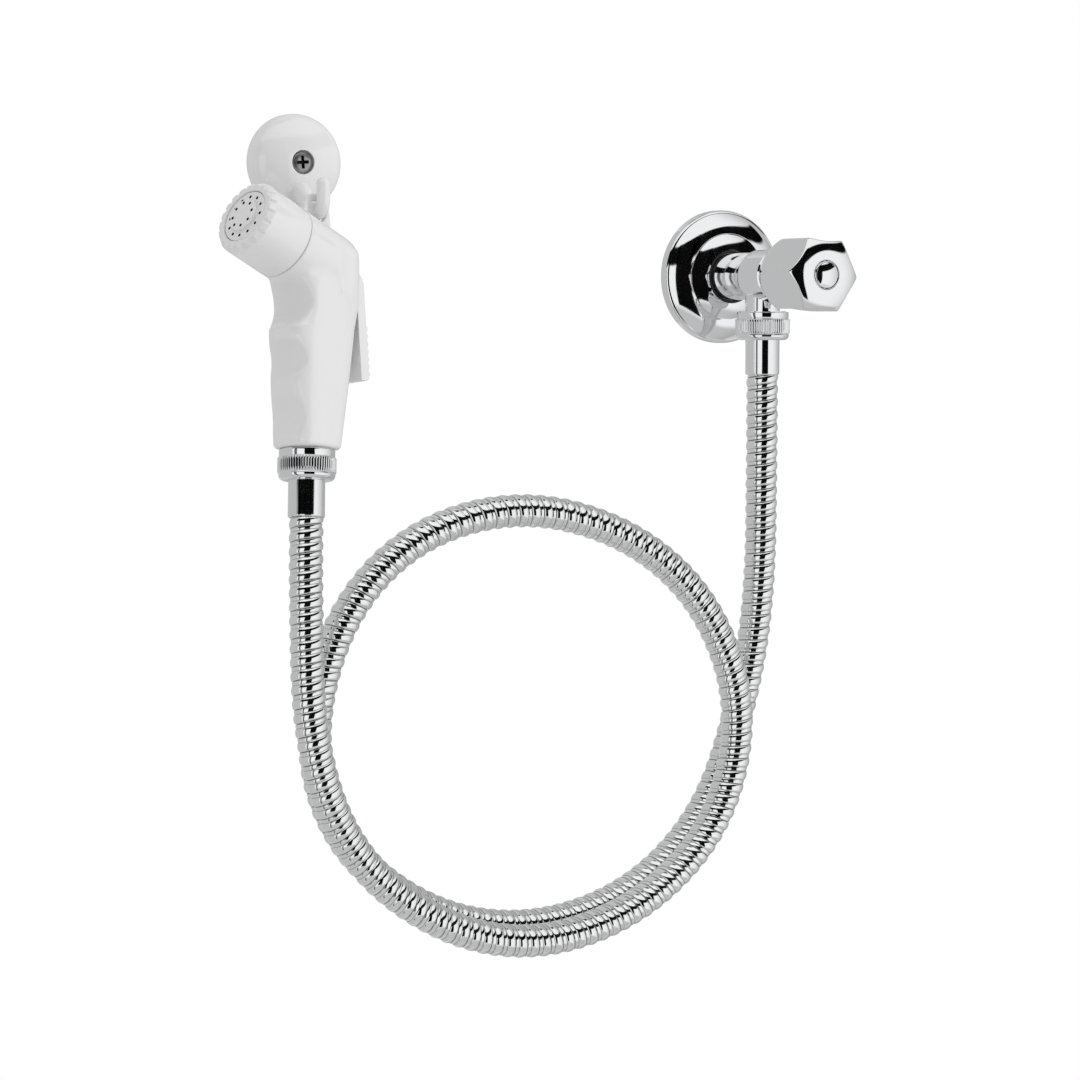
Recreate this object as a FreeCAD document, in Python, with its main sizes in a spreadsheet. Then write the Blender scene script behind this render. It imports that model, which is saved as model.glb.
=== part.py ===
import FreeCAD, Part
import math
import os
import Sketcher
from FreeCAD import Placement, Rotation, Vector

# Handheld bidet shower: wall tap with a side outlet, metal hose, and a trigger
# handset hanging by its eye on a wall hook.
# Millimetres and degrees. The wall is the plane y = 0 and the front is towards -Y.
# The origin is on the axis of the tap's threaded inlet, at the wall.

# Driving dimensions
DIMENSIONS = {
    # tap body
    "inlet_thread_radius": 10.48,
    "inlet_thread_length": 14.0,
    "tap_tube_radius": 10.8,
    "tap_tube_length": 33.5,
    "tap_band_radius": 11.7,
    "tap_length": 54.0,
    "tap_inlet_bore": 6.0,
    "seat_position": 33.65,
    "seat_bore": 4.5,
    "seat_lip_width": 0.9,
    "chamber_radius": 7.6,
    "outlet_position": 39.4,
    "outlet_neck_radius": 7.8,
    "outlet_bore": 4.6,
    "outlet_drop": 15.9,
    # wall flange and its ring
    "flange_radius": 30.65,
    "flange_rim": 3.2,
    "flange_sheet": 1.0,
    "flange_shoulder": 5.0,
    "flange_hub_radius": 19.6,
    "flange_valley": 9.3,
    "flange_height": 12.4,
    "flange_opening": 12.3,
    # headwork, spindle and valve
    "headwork_flats": 17.0,
    "headwork_flange": 2.9,
    "headwork_shank": 11.0,
    "headwork_nose": 6.5,
    "headwork_nose_radius": 6.0,
    "jumper_flats": 10.0,
    "spindle_radius": 4.0,
    "spindle_setback": 8.4,
    "spindle_thread_radius": 2.95,
    "jumper_disc_radius": 6.1,
    "valve_washer_thickness": 1.95,
    # tap handle
    "handle_flats": 31.5,
    "handle_gap": 1.7,
    "handle_length": 33.8,
    "handle_crown": 3.2,
    "handle_back_radius": 14.2,
    "handle_taper": 12.0,
    "handle_turn": -4.0,
    "handle_hollow_radius": 7.6,
    "button_radius": 6.0,
    "button_dome": 1.1,
    # hose ends
    "stub_radius": 10.4,
    "stub_length": 8.4,
    "nut_collar_radius": 11.8,
    "nut_knurl_radius": 12.35,
    "nut_height": 12.8,
    "nut_collar": 3.2,
    "nut_bead": 2.9,
    "nut_lip": 1.35,
    "nut_grooves": 48,
    "hose_washer": 1.8,
    "nipple_flange": 1.4,
    "nipple_radius": 5.6,
    "ferrule_radius": 7.75,
    "ferrule_end": 28.8,
    "water_bore": 3.6,
    # hose
    "hose_radius": 7.25,
    # wall holder
    "holder_across": -213.9,
    "holder_above": 47.5,
    "dome_radius": 21.0,
    "dome_edge": 3.5,
    "dome_rise": 9.6,
    "dome_wall": 2.2,
    "screw_recess_radius": 5.2,
    "screw_seat": 9.5,
    "screw_head_radius": 4.4,
    "screw_head_height": 2.3,
    "screw_radius": 2.1,
    "screw_shank_radius": 2.4,
    "screw_thread_radius": 2.0,
    "screw_in_wall": 27.0,
    "hook_radius": 2.9,
    "hook_bend_radius": 6.0,
    "hook_drop": 22.2,
    "hook_reach": 27.8,
    "hook_tip": 10.1,
    "hook_root_drop": 12.5,
    # handset pose and grip
    "handset_turn": 199.7,
    "handset_pitch": -8.0,
    "handset_roll": 7.0,
    "grip_corner": 1.2,
    "finger_soft": 4.0,
    # head and nozzle
    "head_height": 80.8,
    "head_rise": 18.9,
    "head_radius": 16.2,
    "head_back": 23.0,
    "shoulder_radius": 5.0,
    "disc_reach": 38.9,
    "collar_length": 23.6,
    "nose_radius": 12.5,
    "nose_short": 4.2,
    "collar_lip_radius": 11.75,
    "collar_lip": 1.4,
    "collar_front": 0.4,
    "collar_notches": 20,
    "notch_radius": 1.15,
    "disc_radius": 11.5,
    "disc_centre_radius": 7.4,
    "disc_centre_rise": 1.7,
    "spray_hole_radius": 0.75,
    "outer_ring_radius": 9.0,
    "outer_ring_holes": 12,
    "inner_ring_radius": 5.5,
    "inner_ring_holes": 8,
    "gasket_thickness": 1.2,
    # hanging eye
    "eye_centre": -2.6,
    "eye_width": 14.8,
    "eye_thickness": 3.2,
    "eye_rise": 28.7,
    "eye_slot_centre": -3.0,
    "eye_slot_width": 10.6,
    "eye_slot_height": 8.9,
    "eye_slot_corner": 4.4,
    "eye_band": 3.2,
    "hanging_offset": 1.25,
    "hanging_slack": 1.65,
    # trigger lever
    "lever_width": 17.0,
    "lever_side_gap": 0.4,
    "lever_thickness": 4.2,
    "lever_drop": 42.0,
    "lever_bottom_back": 23.2,
    "pivot_back": 15.5,
    "pivot_height": 73.5,
    "pivot_boss": 2.9,
    "pin_radius": 1.5,
    "pin_length": 21.2,
    "rib_count": 7,
    "rib_pitch": 3.2,
    "first_rib_rise": 3.0,
    "rib_radius": 1.3,
    "channel_floor": 18.2,
    "channel_room": 4.5,
    "slot_drop": 9.5,
    "slot_rise": 6.2,
    "slot_floor": 12.1,
    # spray valve in the grip
    "plunger_drop": 17.0,
    "plunger_tip": 20.5,
    "stem_radius": 2.0,
    "cartridge_radius": 5.4,
    "cartridge_seat": 4.0,
    "valve_bore_end": 6.0,
    "plunger_disc_radius": 4.4,
    "plunger_seal": 1.2,
    "spring_radius": 3.5,
    "spring_wire": 0.4,
    "spring_turns": 5,
    # fits
    "running_gap": 0.05,
    "face_gap": 0.05,
    "rest_gap": 0.3,
}

# Grip sections: height, depth in front of the axis, depth behind it, half width
GRIP_SECTIONS = [
    (0.0, 13.8, 13.7, 13.2),
    (28.0, 16.1, 18.2, 14.1),
    (50.0, 17.7, 21.4, 14.5),
    (66.0, 17.3, 23.3, 14.8),
    (80.0, 15.6, 22.8, 15.1),
]

# Finger recesses on the front of the grip: height, deepest point, radius
FINGER_RECESSES = [
    (12.6, 10.8, 14.2),
    (36.3, 11.8, 9.6),
    (60.5, 10.4, 11.0),
]

# Route of the hose between its two straight ends, from the handset to the tap
HOSE_ROUTE = [
    (-234, -63, -199),
    (-212, -58, -248),
    (-170, -60, -281),
    (-122, -60, -292),
    (-70, -58, -279),
    (-31, -57, -244),
    (-19, -56, -193),
    (-38.5, -55, -144.5),
    (-76, -52, -113),
    (-128, -49, -99),
    (-179, -46, -111),
    (-212.5, -42, -146),
    (-226, -41, -199.5),
    (-209.5, -41, -246.5),
    (-166.5, -41, -279),
    (-117, -41, -289),
    (-66, -40, -277),
    (-28, -39, -244),
    (-10, -39, -196),
]
HOSE_END_RUN = 30.0
HOSE_LAST_BEND = (-0.6, -39.4, -147)
ARC_SHARE = 0.45

# Lengths of the cutting blocks that pass right through the handset
SCOOP_LENGTH = 60.0
BACK_CUT = 20.0
HEAD_OVAL_CENTRE = 12.0
HEAD_ROOM_BELOW = 30.8
HEAD_ROOM_HEIGHT = 80.0

doc = FreeCAD.newDocument("BidetShower")
sheet = doc.addObject("Spreadsheet::Sheet", "Sizes")


def fill_sheet():
    """Writes every driving dimension into the sheet with its alias."""
    for row, (name, value) in enumerate(DIMENSIONS.items(), start=1):
        sheet.set(f"A{row}", name)
        sheet.set(f"B{row}", str(value))
        sheet.setAlias(f"B{row}", name)


class Size:
    """A number together with the sheet expression that gives it."""

    def __init__(self, value, text):
        self.value = value
        self.text = text

    def combine(self, other, value, pattern):
        text = other.text if isinstance(other, Size) else repr(float(other))
        return Size(value, pattern.format(self.text, text))

    def __add__(self, other):
        return self.combine(other, self.value + number(other), "({} + {})")

    def __sub__(self, other):
        return self.combine(other, self.value - number(other), "({} - {})")

    def __rsub__(self, other):
        return self.combine(other, number(other) - self.value, "({1} - {0})")

    def __mul__(self, other):
        return self.combine(other, self.value * number(other), "({} * {})")

    def __truediv__(self, other):
        return self.combine(other, self.value / number(other), "({} / {})")

    def __neg__(self):
        return self * -1

    __radd__ = __add__
    __rmul__ = __mul__


def number(thing):
    return thing.value if isinstance(thing, Size) else float(thing)


def size(name):
    return Size(DIMENSIONS[name], "Sizes." + name)


# Heights and reaches worked out from the driving dimensions

def handle_back():
    return size("tap_length") + size("headwork_flange") + size("handle_gap")


def handle_front():
    return handle_back() + size("handle_length")


def spindle_end():
    return handle_front() - size("spindle_setback")


def eye_top():
    return size("head_height") + size("eye_rise")


def eye_slot_top():
    return eye_top() - size("eye_band")


def lever_foot():
    return size("pivot_height") - size("lever_drop")


def plunger_height():
    return size("pivot_height") - size("plunger_drop")


def bind(thing, prop, amount):
    """Sets a property and ties it to the sheet."""
    setattr(thing, prop, number(amount))
    if isinstance(amount, Size):
        thing.setExpression(prop, amount.text)


def place(thing, x=0, y=0, z=0, rotation=None):
    """Puts an object at x, y, z, each tied to the sheet where it is a size."""
    thing.Placement = Placement(Vector(number(x), number(y), number(z)), rotation or Rotation())
    for axis, amount in (("x", x), ("y", y), ("z", z)):
        if isinstance(amount, Size):
            thing.setExpression("Placement.Base." + axis, amount.text)
    return thing


# Sketches and solids

def origin_plane(body, role):
    return next(item for item in body.Origin.OriginFeatures if item.Role == role)


def pin_point(sketch, index, position, x, y):
    """Holds a sketch point at x, y from the origin."""
    for kind, amount in (("DistanceX", x), ("DistanceY", y)):
        if number(amount) == 0 and not isinstance(amount, Size):
            axis = -2 if kind == "DistanceX" else -1
            sketch.addConstraint(Sketcher.Constraint("PointOnObject", index, position, axis))
            continue
        row = sketch.addConstraint(Sketcher.Constraint(kind, -1, 1, index, position, number(amount)))
        if isinstance(amount, Size):
            sketch.setExpression(f"Constraints[{row}]", amount.text)


def outline_sketch(body, name, role, outline, offset=0):
    """Closed outline of corners (x, y), or (x, y, through) where an arc leaves a corner."""
    sketch = body.newObject("Sketcher::SketchObject", name)
    sketch.AttachmentSupport = [(origin_plane(body, role), "")]
    sketch.MapMode = "FlatFace"
    if isinstance(offset, Size) or offset:
        sketch.AttachmentOffset = Placement(Vector(0, 0, number(offset)), Rotation())
        if isinstance(offset, Size):
            sketch.setExpression("AttachmentOffset.Base.z", offset.text)
    ends = []
    for corner, following in zip(outline, outline[1:] + outline[:1]):
        start = Vector(number(corner[0]), number(corner[1]), 0)
        end = Vector(number(following[0]), number(following[1]), 0)
        if len(corner) == 2:
            edge = sketch.addGeometry(Part.LineSegment(start, end))
            ends.append((edge, 1, 2))
            continue
        through = Vector(number(corner[2][0]), number(corner[2][1]), 0)
        turn = (through - start).cross(end - through).z
        arc = Part.Arc(start, through, end) if turn > 0 else Part.Arc(end, through, start)
        edge = sketch.addGeometry(arc)
        ends.append((edge, 1, 2) if turn > 0 else (edge, 2, 1))
        mark = sketch.addGeometry(Part.Point(through), True)
        pin_point(sketch, mark, 1, *corner[2])
        sketch.addConstraint(Sketcher.Constraint("PointOnObject", mark, 1, edge))
    for this, following in zip(ends, ends[1:] + ends[:1]):
        sketch.addConstraint(Sketcher.Constraint("Coincident", this[0], this[2], following[0], following[1]))
    for (edge, first, last), corner in zip(ends, outline):
        pin_point(sketch, edge, first, corner[0], corner[1])
    return sketch


def circle_sketch(body, name, role, radius, x=0, y=0, offset=0):
    sketch = body.newObject("Sketcher::SketchObject", name)
    sketch.AttachmentSupport = [(origin_plane(body, role), "")]
    sketch.MapMode = "FlatFace"
    sketch.AttachmentOffset = Placement(Vector(0, 0, number(offset)), Rotation())
    if isinstance(offset, Size):
        sketch.setExpression("AttachmentOffset.Base.z", offset.text)
    centre = Vector(number(x), number(y), 0)
    ring = sketch.addGeometry(Part.Circle(centre, Vector(0, 0, 1), number(radius)))
    pin_point(sketch, ring, 3, x, y)
    row = sketch.addConstraint(Sketcher.Constraint("Radius", ring, number(radius)))
    if isinstance(radius, Size):
        sketch.setExpression(f"Constraints[{row}]", radius.text)
    return sketch


def new_body(label):
    body = doc.addObject("PartDesign::Body", label)
    body.Label = label
    return body


def turned(label, outline):
    """A turned piece: the outline (radius, height) goes once round the body's Z axis."""
    body = new_body(label)
    sketch = outline_sketch(body, label + "_profile", "XZ_Plane", outline)
    spin = body.newObject("PartDesign::Revolution", label + "_turning")
    spin.Profile = sketch
    spin.ReferenceAxis = (sketch, ["V_Axis"])
    spin.Angle = 360
    body.Tip = spin
    doc.recompute()
    return body


def slab(label, outline, width):
    """A plate with its outline in the XZ plane and its width shared each side of it."""
    body = new_body(label)
    sketch = outline_sketch(body, label + "_profile", "XZ_Plane", outline)
    pad = body.newObject("PartDesign::Pad", label + "_pad")
    pad.Profile = sketch
    pad.Midplane = True
    bind(pad, "Length", width)
    body.Tip = pad
    doc.recompute()
    return body


def cut_round_axis(body, label, sketch, count, depth=None):
    """Cuts a sketch down from its plane and repeats the cut round the Z axis."""
    pocket = body.newObject("PartDesign::Pocket", label + "_cut")
    pocket.Profile = sketch
    if depth is None:
        pocket.Type = "ThroughAll"
        pocket.Midplane = True
    else:
        bind(pocket, "Length", depth)
    body.Tip = pocket
    doc.recompute()
    repeat_round_axis(body, label, pocket, count)


def repeat_round_axis(body, label, feature, count):
    pattern = body.newObject("PartDesign::PolarPattern", label + "_ring")
    pattern.Originals = [feature]
    pattern.Axis = (next(item for item in body.Origin.OriginFeatures if item.Role == "Z_Axis"), [""])
    pattern.Angle = 360
    pattern.Occurrences = int(number(count))
    if isinstance(count, Size):
        pattern.setExpression("Occurrences", count.text)
    body.Tip = pattern
    doc.recompute()


def cylinder(name, radius, height):
    rod = doc.addObject("Part::Cylinder", name)
    bind(rod, "Radius", radius)
    bind(rod, "Height", height)
    return rod


def box(name, length, width, height):
    block = doc.addObject("Part::Box", name)
    bind(block, "Length", length)
    bind(block, "Width", width)
    bind(block, "Height", height)
    return block


def hexagon(name, flats, height):
    prism = doc.addObject("Part::Prism", name)
    prism.Polygon = 6
    bind(prism, "Circumradius", flats * (1 / math.sqrt(3)))
    bind(prism, "Height", height)
    return prism


def ring(name, centre_radius, section_radius):
    torus = doc.addObject("Part::Torus", name)
    torus.Label = name
    bind(torus, "Radius1", centre_radius)
    bind(torus, "Radius2", section_radius)
    return torus


def fused(label, pieces):
    joined = doc.addObject("Part::MultiFuse", label)
    joined.Label = label
    joined.Shapes = pieces
    joined.Refine = True
    doc.recompute()
    return joined


def cut(label, base, tools):
    """The base less the tools."""
    tool = tools[0] if len(tools) == 1 else fused(label + "_tools", tools)
    piece = doc.addObject("Part::Cut", label)
    piece.Label = label
    piece.Base = base
    piece.Tool = tool
    piece.Refine = True
    doc.recompute()
    return piece


def shaped(label, shape):
    piece = doc.addObject("Part::Feature", label)
    piece.Label = label
    piece.Shape = shape
    return piece


# Frames: a piece made about its own Z axis is turned to point where it belongs
OUT_OF_WALL = Rotation(Vector(1, 0, 0), 90)
FRONTWARDS = Rotation(Vector(0, 1, 0), 90)
SIDEWAYS = Rotation(Vector(1, 0, 0), 90)
FACING_DOWN = Rotation(Vector(1, 0, 0), 180)


def carry(piece, frame):
    """Moves a piece made in a local frame, with the place it had there, into the row."""
    local = piece.Placement
    for axis in ("x", "y", "z"):
        piece.setExpression("Placement.Base." + axis, None)
    piece.Placement = frame.multiply(local)
    return piece


def at_wall(piece, across=0, above=0, turn=0):
    """Stands a piece's Z axis out from the wall, at a place on it."""
    spin = Rotation(Vector(0, 0, 1), number(turn))
    return place(piece, across, 0, above, OUT_OF_WALL.multiply(spin))


gap = size("running_gap")
face_gap = size("face_gap")
rest_gap = size("rest_gap")


# Tap

def make_valve_body():
    tube = size("tap_tube_radius")
    band = size("tap_band_radius")
    end = size("tap_length")
    bend = size("tap_tube_length")
    bore = size("tap_inlet_bore")
    chamber = size("chamber_radius")
    seat = size("seat_position")
    lip_bore = size("seat_bore")
    thread = size("inlet_thread_radius")
    barrel = turned("tap_barrel", [
        (bore, -size("inlet_thread_length")),
        (thread - 0.8, -size("inlet_thread_length")),
        (thread, -size("inlet_thread_length") + 0.8),
        (thread, 2),
        (tube, 2.4),
        (tube, bend, (tube + 0.25 * (band - tube), bend + 1.6)),
        (band, bend + 3.4),
        (band, end - 0.6),
        (band - 0.6, end),
        (chamber, end),
        (chamber, seat - 1),
        (lip_bore + size("seat_lip_width"), seat - 1),
        (lip_bore + size("seat_lip_width"), seat),
        (lip_bore, seat),
        (lip_bore, seat - 3),
        (bore, seat - 3),
    ])
    drop = size("outlet_drop")
    neck = place(cylinder("outlet_neck", size("outlet_neck_radius"), drop + 1),
                 0, 0, size("outlet_position"), Rotation(Vector(1, 0, 0), 90))
    stub = place(cylinder("outlet_stub", size("stub_radius"), size("stub_length")),
                 0, -drop, size("outlet_position"), Rotation(Vector(1, 0, 0), 90))
    solid = fused("tap_casting", [barrel, cut("outlet_branch", fused("outlet_rod", [neck, stub]), [
        place(cylinder("branch_room", band - 0.5, end), 0, 0, 0)])])
    bore_down = place(cylinder("outlet_way", size("outlet_bore"), drop + size("stub_length") + 1),
                      0, 0, size("outlet_position"), Rotation(Vector(1, 0, 0), 90))
    return at_wall(cut("valve_body", solid, [bore_down]))


def make_wall_flange():
    """Pressed cover: a rolled rim, a shallow dome, a valley and a cone up to the pipe."""
    rim = size("flange_radius")
    wall = size("flange_sheet")
    edge = size("flange_rim")
    shoulder = size("flange_shoulder")
    hub = size("flange_hub_radius")
    valley = size("flange_valley")
    top = size("flange_height")
    hole = size("flange_opening")
    mid_dome = (rim - 1.45 + hub) * 0.5
    mid_cone = (hub + hole) * 0.5
    flange = turned("wall_flange", [
        (rim, 0),
        (rim, edge, (rim - 0.4, edge + 1.15)),
        (rim - 1.45, shoulder, (mid_dome + 0.45, valley - 1.45)),
        (hub + 0.3, valley + 0.1, (hub, valley + 0.14)),
        (hub - 0.3, valley + 0.28, (mid_cone, top - 1.15)),
        (hole, top),
        (hole, top - wall),
        (mid_cone - 0.1, top - wall - 1.3),
        (hub - 0.4, valley - 0.9),
        (mid_dome - 0.1, valley - 2.4),
        (rim - 2.35, shoulder - 0.8),
        (rim - wall, edge - 0.1),
        (rim - wall, 0),
    ])
    return at_wall(flange)


def make_flange_ring():
    inner = size("tap_tube_radius")
    outer = size("flange_opening")
    middle = (inner + outer) * 0.5
    seal = ring("flange_ring", middle, (outer - inner) * 0.5 - gap * 0.5)
    return place(seal, 0, -(size("flange_height") - size("flange_sheet") * 0.5), 0, OUT_OF_WALL)


def make_headwork():
    end = size("tap_length")
    shank = size("chamber_radius") - gap
    inner_end = end - size("headwork_shank")
    nose = size("headwork_nose_radius")
    top = end + size("headwork_flange")
    bore = size("spindle_radius") + gap
    shoulder = end - 3.75
    barrel = turned("headwork_barrel", [
        (bore, shoulder),
        (shank, shoulder),
        (shank, end + face_gap),
        (nose + 1, end + face_gap),
        (nose + 1, top + face_gap),
        (nose, top + 0.4),
        (nose, top + size("headwork_nose")),
        (bore, top + size("headwork_nose")),
    ])
    socket = cut("headwork_socket",
                 place(cylinder("headwork_skirt", shank, size("headwork_shank") - 3.75), 0, 0, inner_end),
                 [place(hexagon("headwork_hexagon_bore", size("jumper_flats") + gap * 2,
                                size("headwork_shank")), 0, 0, inner_end - 1)])
    flats = cut("headwork_nut",
                place(hexagon("headwork_flats_prism", size("headwork_flats"), size("headwork_flange") - face_gap),
                      0, 0, end + face_gap),
                [place(cylinder("headwork_nut_bore", bore, size("headwork_flange") + 2), 0, 0, end - 1)])
    return at_wall(fused("headwork", [barrel, socket, flats]))


def make_spindle():
    shoulder = size("tap_length") - 3.75
    journal = size("spindle_radius")
    tip = size("spindle_thread_radius")
    top = spindle_end()
    tapped = size("screw_radius")
    groove = size("tap_length") + size("headwork_flange") + 3
    return at_wall(turned("spindle", [
        (0, shoulder - 8.5),
        (tip - 0.5, shoulder - 8.5),
        (tip, shoulder - 8.0),
        (tip, shoulder - 1.05),
        (size("jumper_flats") * 0.5 - 0.1, shoulder - 1.05),
        (size("jumper_flats") * 0.5 - 0.1, shoulder - face_gap),
        (journal, shoulder - face_gap),
        (journal, groove),
        (journal - 0.8, groove),
        (journal - 0.8, groove + 1.5),
        (journal, groove + 1.5),
        (journal, top - 0.5),
        (journal - 0.5, top),
        (tapped, top),
        (tapped, top - 12),
        (0, top - 12),
    ]))


def make_spindle_seal():
    groove = size("tap_length") + size("headwork_flange") + 3
    seal = ring("spindle_o_ring", size("spindle_radius") - 0.38, Size(0.38, "0.38"))
    return place(seal, 0, -(groove + 0.75), 0, OUT_OF_WALL)


def make_jumper():
    seat = size("seat_position") + face_gap
    washer_top = seat + size("valve_washer_thickness") + 0.02
    top = size("tap_length") - 3.75 - 5.05
    body = turned("jumper_blank", [
        (1.55, washer_top),
        (size("jumper_disc_radius"), washer_top),
        (size("jumper_disc_radius"), washer_top + 1.5),
        (size("jumper_flats") * 0.5 - 0.2, washer_top + 1.5),
        (size("jumper_flats") * 0.5 - 0.2, top),
        (size("spindle_thread_radius") + gap, top),
        (size("spindle_thread_radius") + gap, washer_top + 1.8),
        (1.55, washer_top + 1.3),
    ])
    sleeve = cut("jumper_flats_sleeve",
                 place(hexagon("jumper_flats_prism", size("jumper_flats"), top - (washer_top + 1.4)),
                       0, 0, washer_top + 1.4),
                 [place(cylinder("jumper_thread_bore", size("spindle_thread_radius") + gap, size("tap_length")),
                        0, 0, washer_top)])
    return at_wall(fused("jumper", [body, sleeve]))


def make_valve_washer():
    seat = size("seat_position") + face_gap
    top = seat + size("valve_washer_thickness")
    rim = size("jumper_disc_radius") - 0.15
    return at_wall(turned("valve_washer", [
        (1.6, seat),
        (rim, seat),
        (rim, top),
        (1.6, top),
    ]))


def make_washer_screw():
    seat = size("seat_position") + face_gap
    return at_wall(turned("washer_screw", [
        (0, seat - 1.2),
        (2.2, seat - 1.2),
        (2.6, seat - 0.8),
        (2.6, seat - 0.02),
        (1.5, seat - 0.02),
        (1.5, seat + size("valve_washer_thickness") + 1.2),
        (0, seat + size("valve_washer_thickness") + 1.2),
    ]))


def make_tap_handle():
    corner = size("handle_flats") * (1 / math.sqrt(3))
    back = handle_back()
    front = handle_front()
    edge = front - size("handle_crown")
    rear = size("handle_back_radius")
    taper = back + size("handle_taper")
    hollow = size("handle_hollow_radius")
    bore = size("spindle_radius") + gap
    button = size("button_radius") + 0.35
    reach = spindle_end()
    blank = turned("handle_blank", [
        (hollow, back),
        (rear - 1, back),
        (rear, back + 0.8, (rear + 0.55 * (corner - rear), back + 0.42 * size("handle_taper"))),
        (corner + 0.2, taper),
        (corner + 0.2, edge, (0.62 * corner + 0.38 * button, front - 0.28 * (front - edge))),
        (button, front),
        (button, front - 1.6),
        (size("button_radius") - 0.8, front - 1.6),
        (size("button_radius") - 0.8, reach + 2),
        (size("screw_radius") + 0.1, reach + 2),
        (size("screw_radius") + 0.1, reach + 0.1),
        (bore, reach + 0.1),
        (bore, reach - 14),
        (hollow, reach - 14),
    ])
    prism = place(hexagon("handle_prism", size("handle_flats"), front - back + 2), 0, 0, back - 1)
    handle = doc.addObject("Part::Common", "tap_handle")
    handle.Label = "tap_handle"
    handle.Base = blank
    handle.Tool = prism
    doc.recompute()
    return at_wall(handle, turn=size("handle_turn"))


def make_handle_screw():
    reach = spindle_end()
    shank = size("screw_radius")
    head = size("button_radius") - 1.6
    body = turned("handle_screw_blank", [
        (0, reach - 10),
        (shank - gap, reach - 10),
        (shank - gap, reach + 2 + face_gap),
        (head, reach + 2 + face_gap),
        (head, reach + 3.8),
        (head - 0.5, reach + 4.3),
        (0, reach + 4.3),
    ])
    bar = place(box("handle_screw_slot", 5.0, 0.9, 1.4), -2.5, -0.45, reach + 3.3)
    cross = place(box("handle_screw_cross", 0.9, 5.0, 1.4), -0.45, -2.5, reach + 3.3)
    return at_wall(cut("handle_screw", body, [bar, cross]))


def make_handle_button():
    front = handle_front()
    rim = size("button_radius")
    plug = rim - 0.8 - gap
    return at_wall(turned("handle_button", [
        (0, front - 2.6),
        (plug, front - 2.6),
        (plug, front - 1.6 + face_gap),
        (rim, front - 1.6 + face_gap),
        (rim, front - 0.3, (rim - 0.25, front + 0.15)),
        (rim - 0.7, front + 0.35, ((rim - 0.7) * 0.5, front + 0.35 + size("button_dome") * 0.76)),
        (0.6, front + 0.35 + size("button_dome")),
        (0, front + 0.35 + size("button_dome")),
    ]))


# Hose ends: each is made hanging below the face that its nut screws up to

def make_nut(label):
    collar = size("nut_collar_radius")
    knurl = size("nut_knurl_radius")
    height = size("nut_height")
    bead = size("nut_bead")
    thread = size("stub_radius") + gap
    top = rest_gap
    neck = size("ferrule_radius") + 0.25
    body = turned(label, [
        (thread, -top),
        (collar - 0.4, -top),
        (collar, -top - 0.4),
        (collar, -top - size("nut_collar")),
        (knurl, -top - size("nut_collar") - 0.3),
        (knurl, -top - height + bead),
        (collar + 0.1, -top - height + bead - 0.3, (collar - 0.55, -top - height + 0.75)),
        (collar - 2, -top - height),
        (neck, -top - height),
        (neck, -top - height + size("nut_lip")),
        (thread, -top - height + size("nut_lip")),
    ])
    half = knurl * (math.pi / 48 * 0.5)
    groove = outline_sketch(body, label + "_groove", "XY_Plane", [
        (knurl - 0.45, 0),
        (knurl + 0.3, -half),
        (knurl + 0.3, half),
    ], offset=-top - size("nut_collar") - 0.9)
    cut_round_axis(body, label + "_knurl", groove, size("nut_grooves"),
                   height - size("nut_collar") - bead - 1.2)
    return body


def make_hose_washer(label):
    top = size("stub_length") + face_gap
    rim = size("stub_radius") - 1
    return turned(label, [
        (size("nipple_radius"), -top),
        (rim, -top),
        (rim, -top - size("hose_washer")),
        (size("nipple_radius"), -top - size("hose_washer")),
    ])


def make_nipple(label):
    top = size("stub_length") + size("hose_washer") + face_gap * 2
    rim = size("stub_radius") - 1.1
    return turned(label, [
        (size("water_bore"), -top),
        (rim, -top),
        (rim, -top - size("nipple_flange")),
        (size("nipple_radius"), -top - size("nipple_flange")),
        (size("nipple_radius"), -size("ferrule_end") + 1),
        (size("water_bore"), -size("ferrule_end") + 1),
    ])


def make_ferrule(label):
    top = size("stub_length") + size("hose_washer") + size("nipple_flange") + face_gap * 3
    end = size("ferrule_end")
    rim = size("ferrule_radius")
    return turned(label, [
        (size("nipple_radius") + gap, -top),
        (rim - 0.3, -top),
        (rim, -top - 0.3),
        (rim, -end + 0.7, (rim - 0.2, -end + 0.2)),
        (rim - 0.7, -end),
        (size("nipple_radius") + gap, -end),
    ])


# Wall holder

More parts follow.
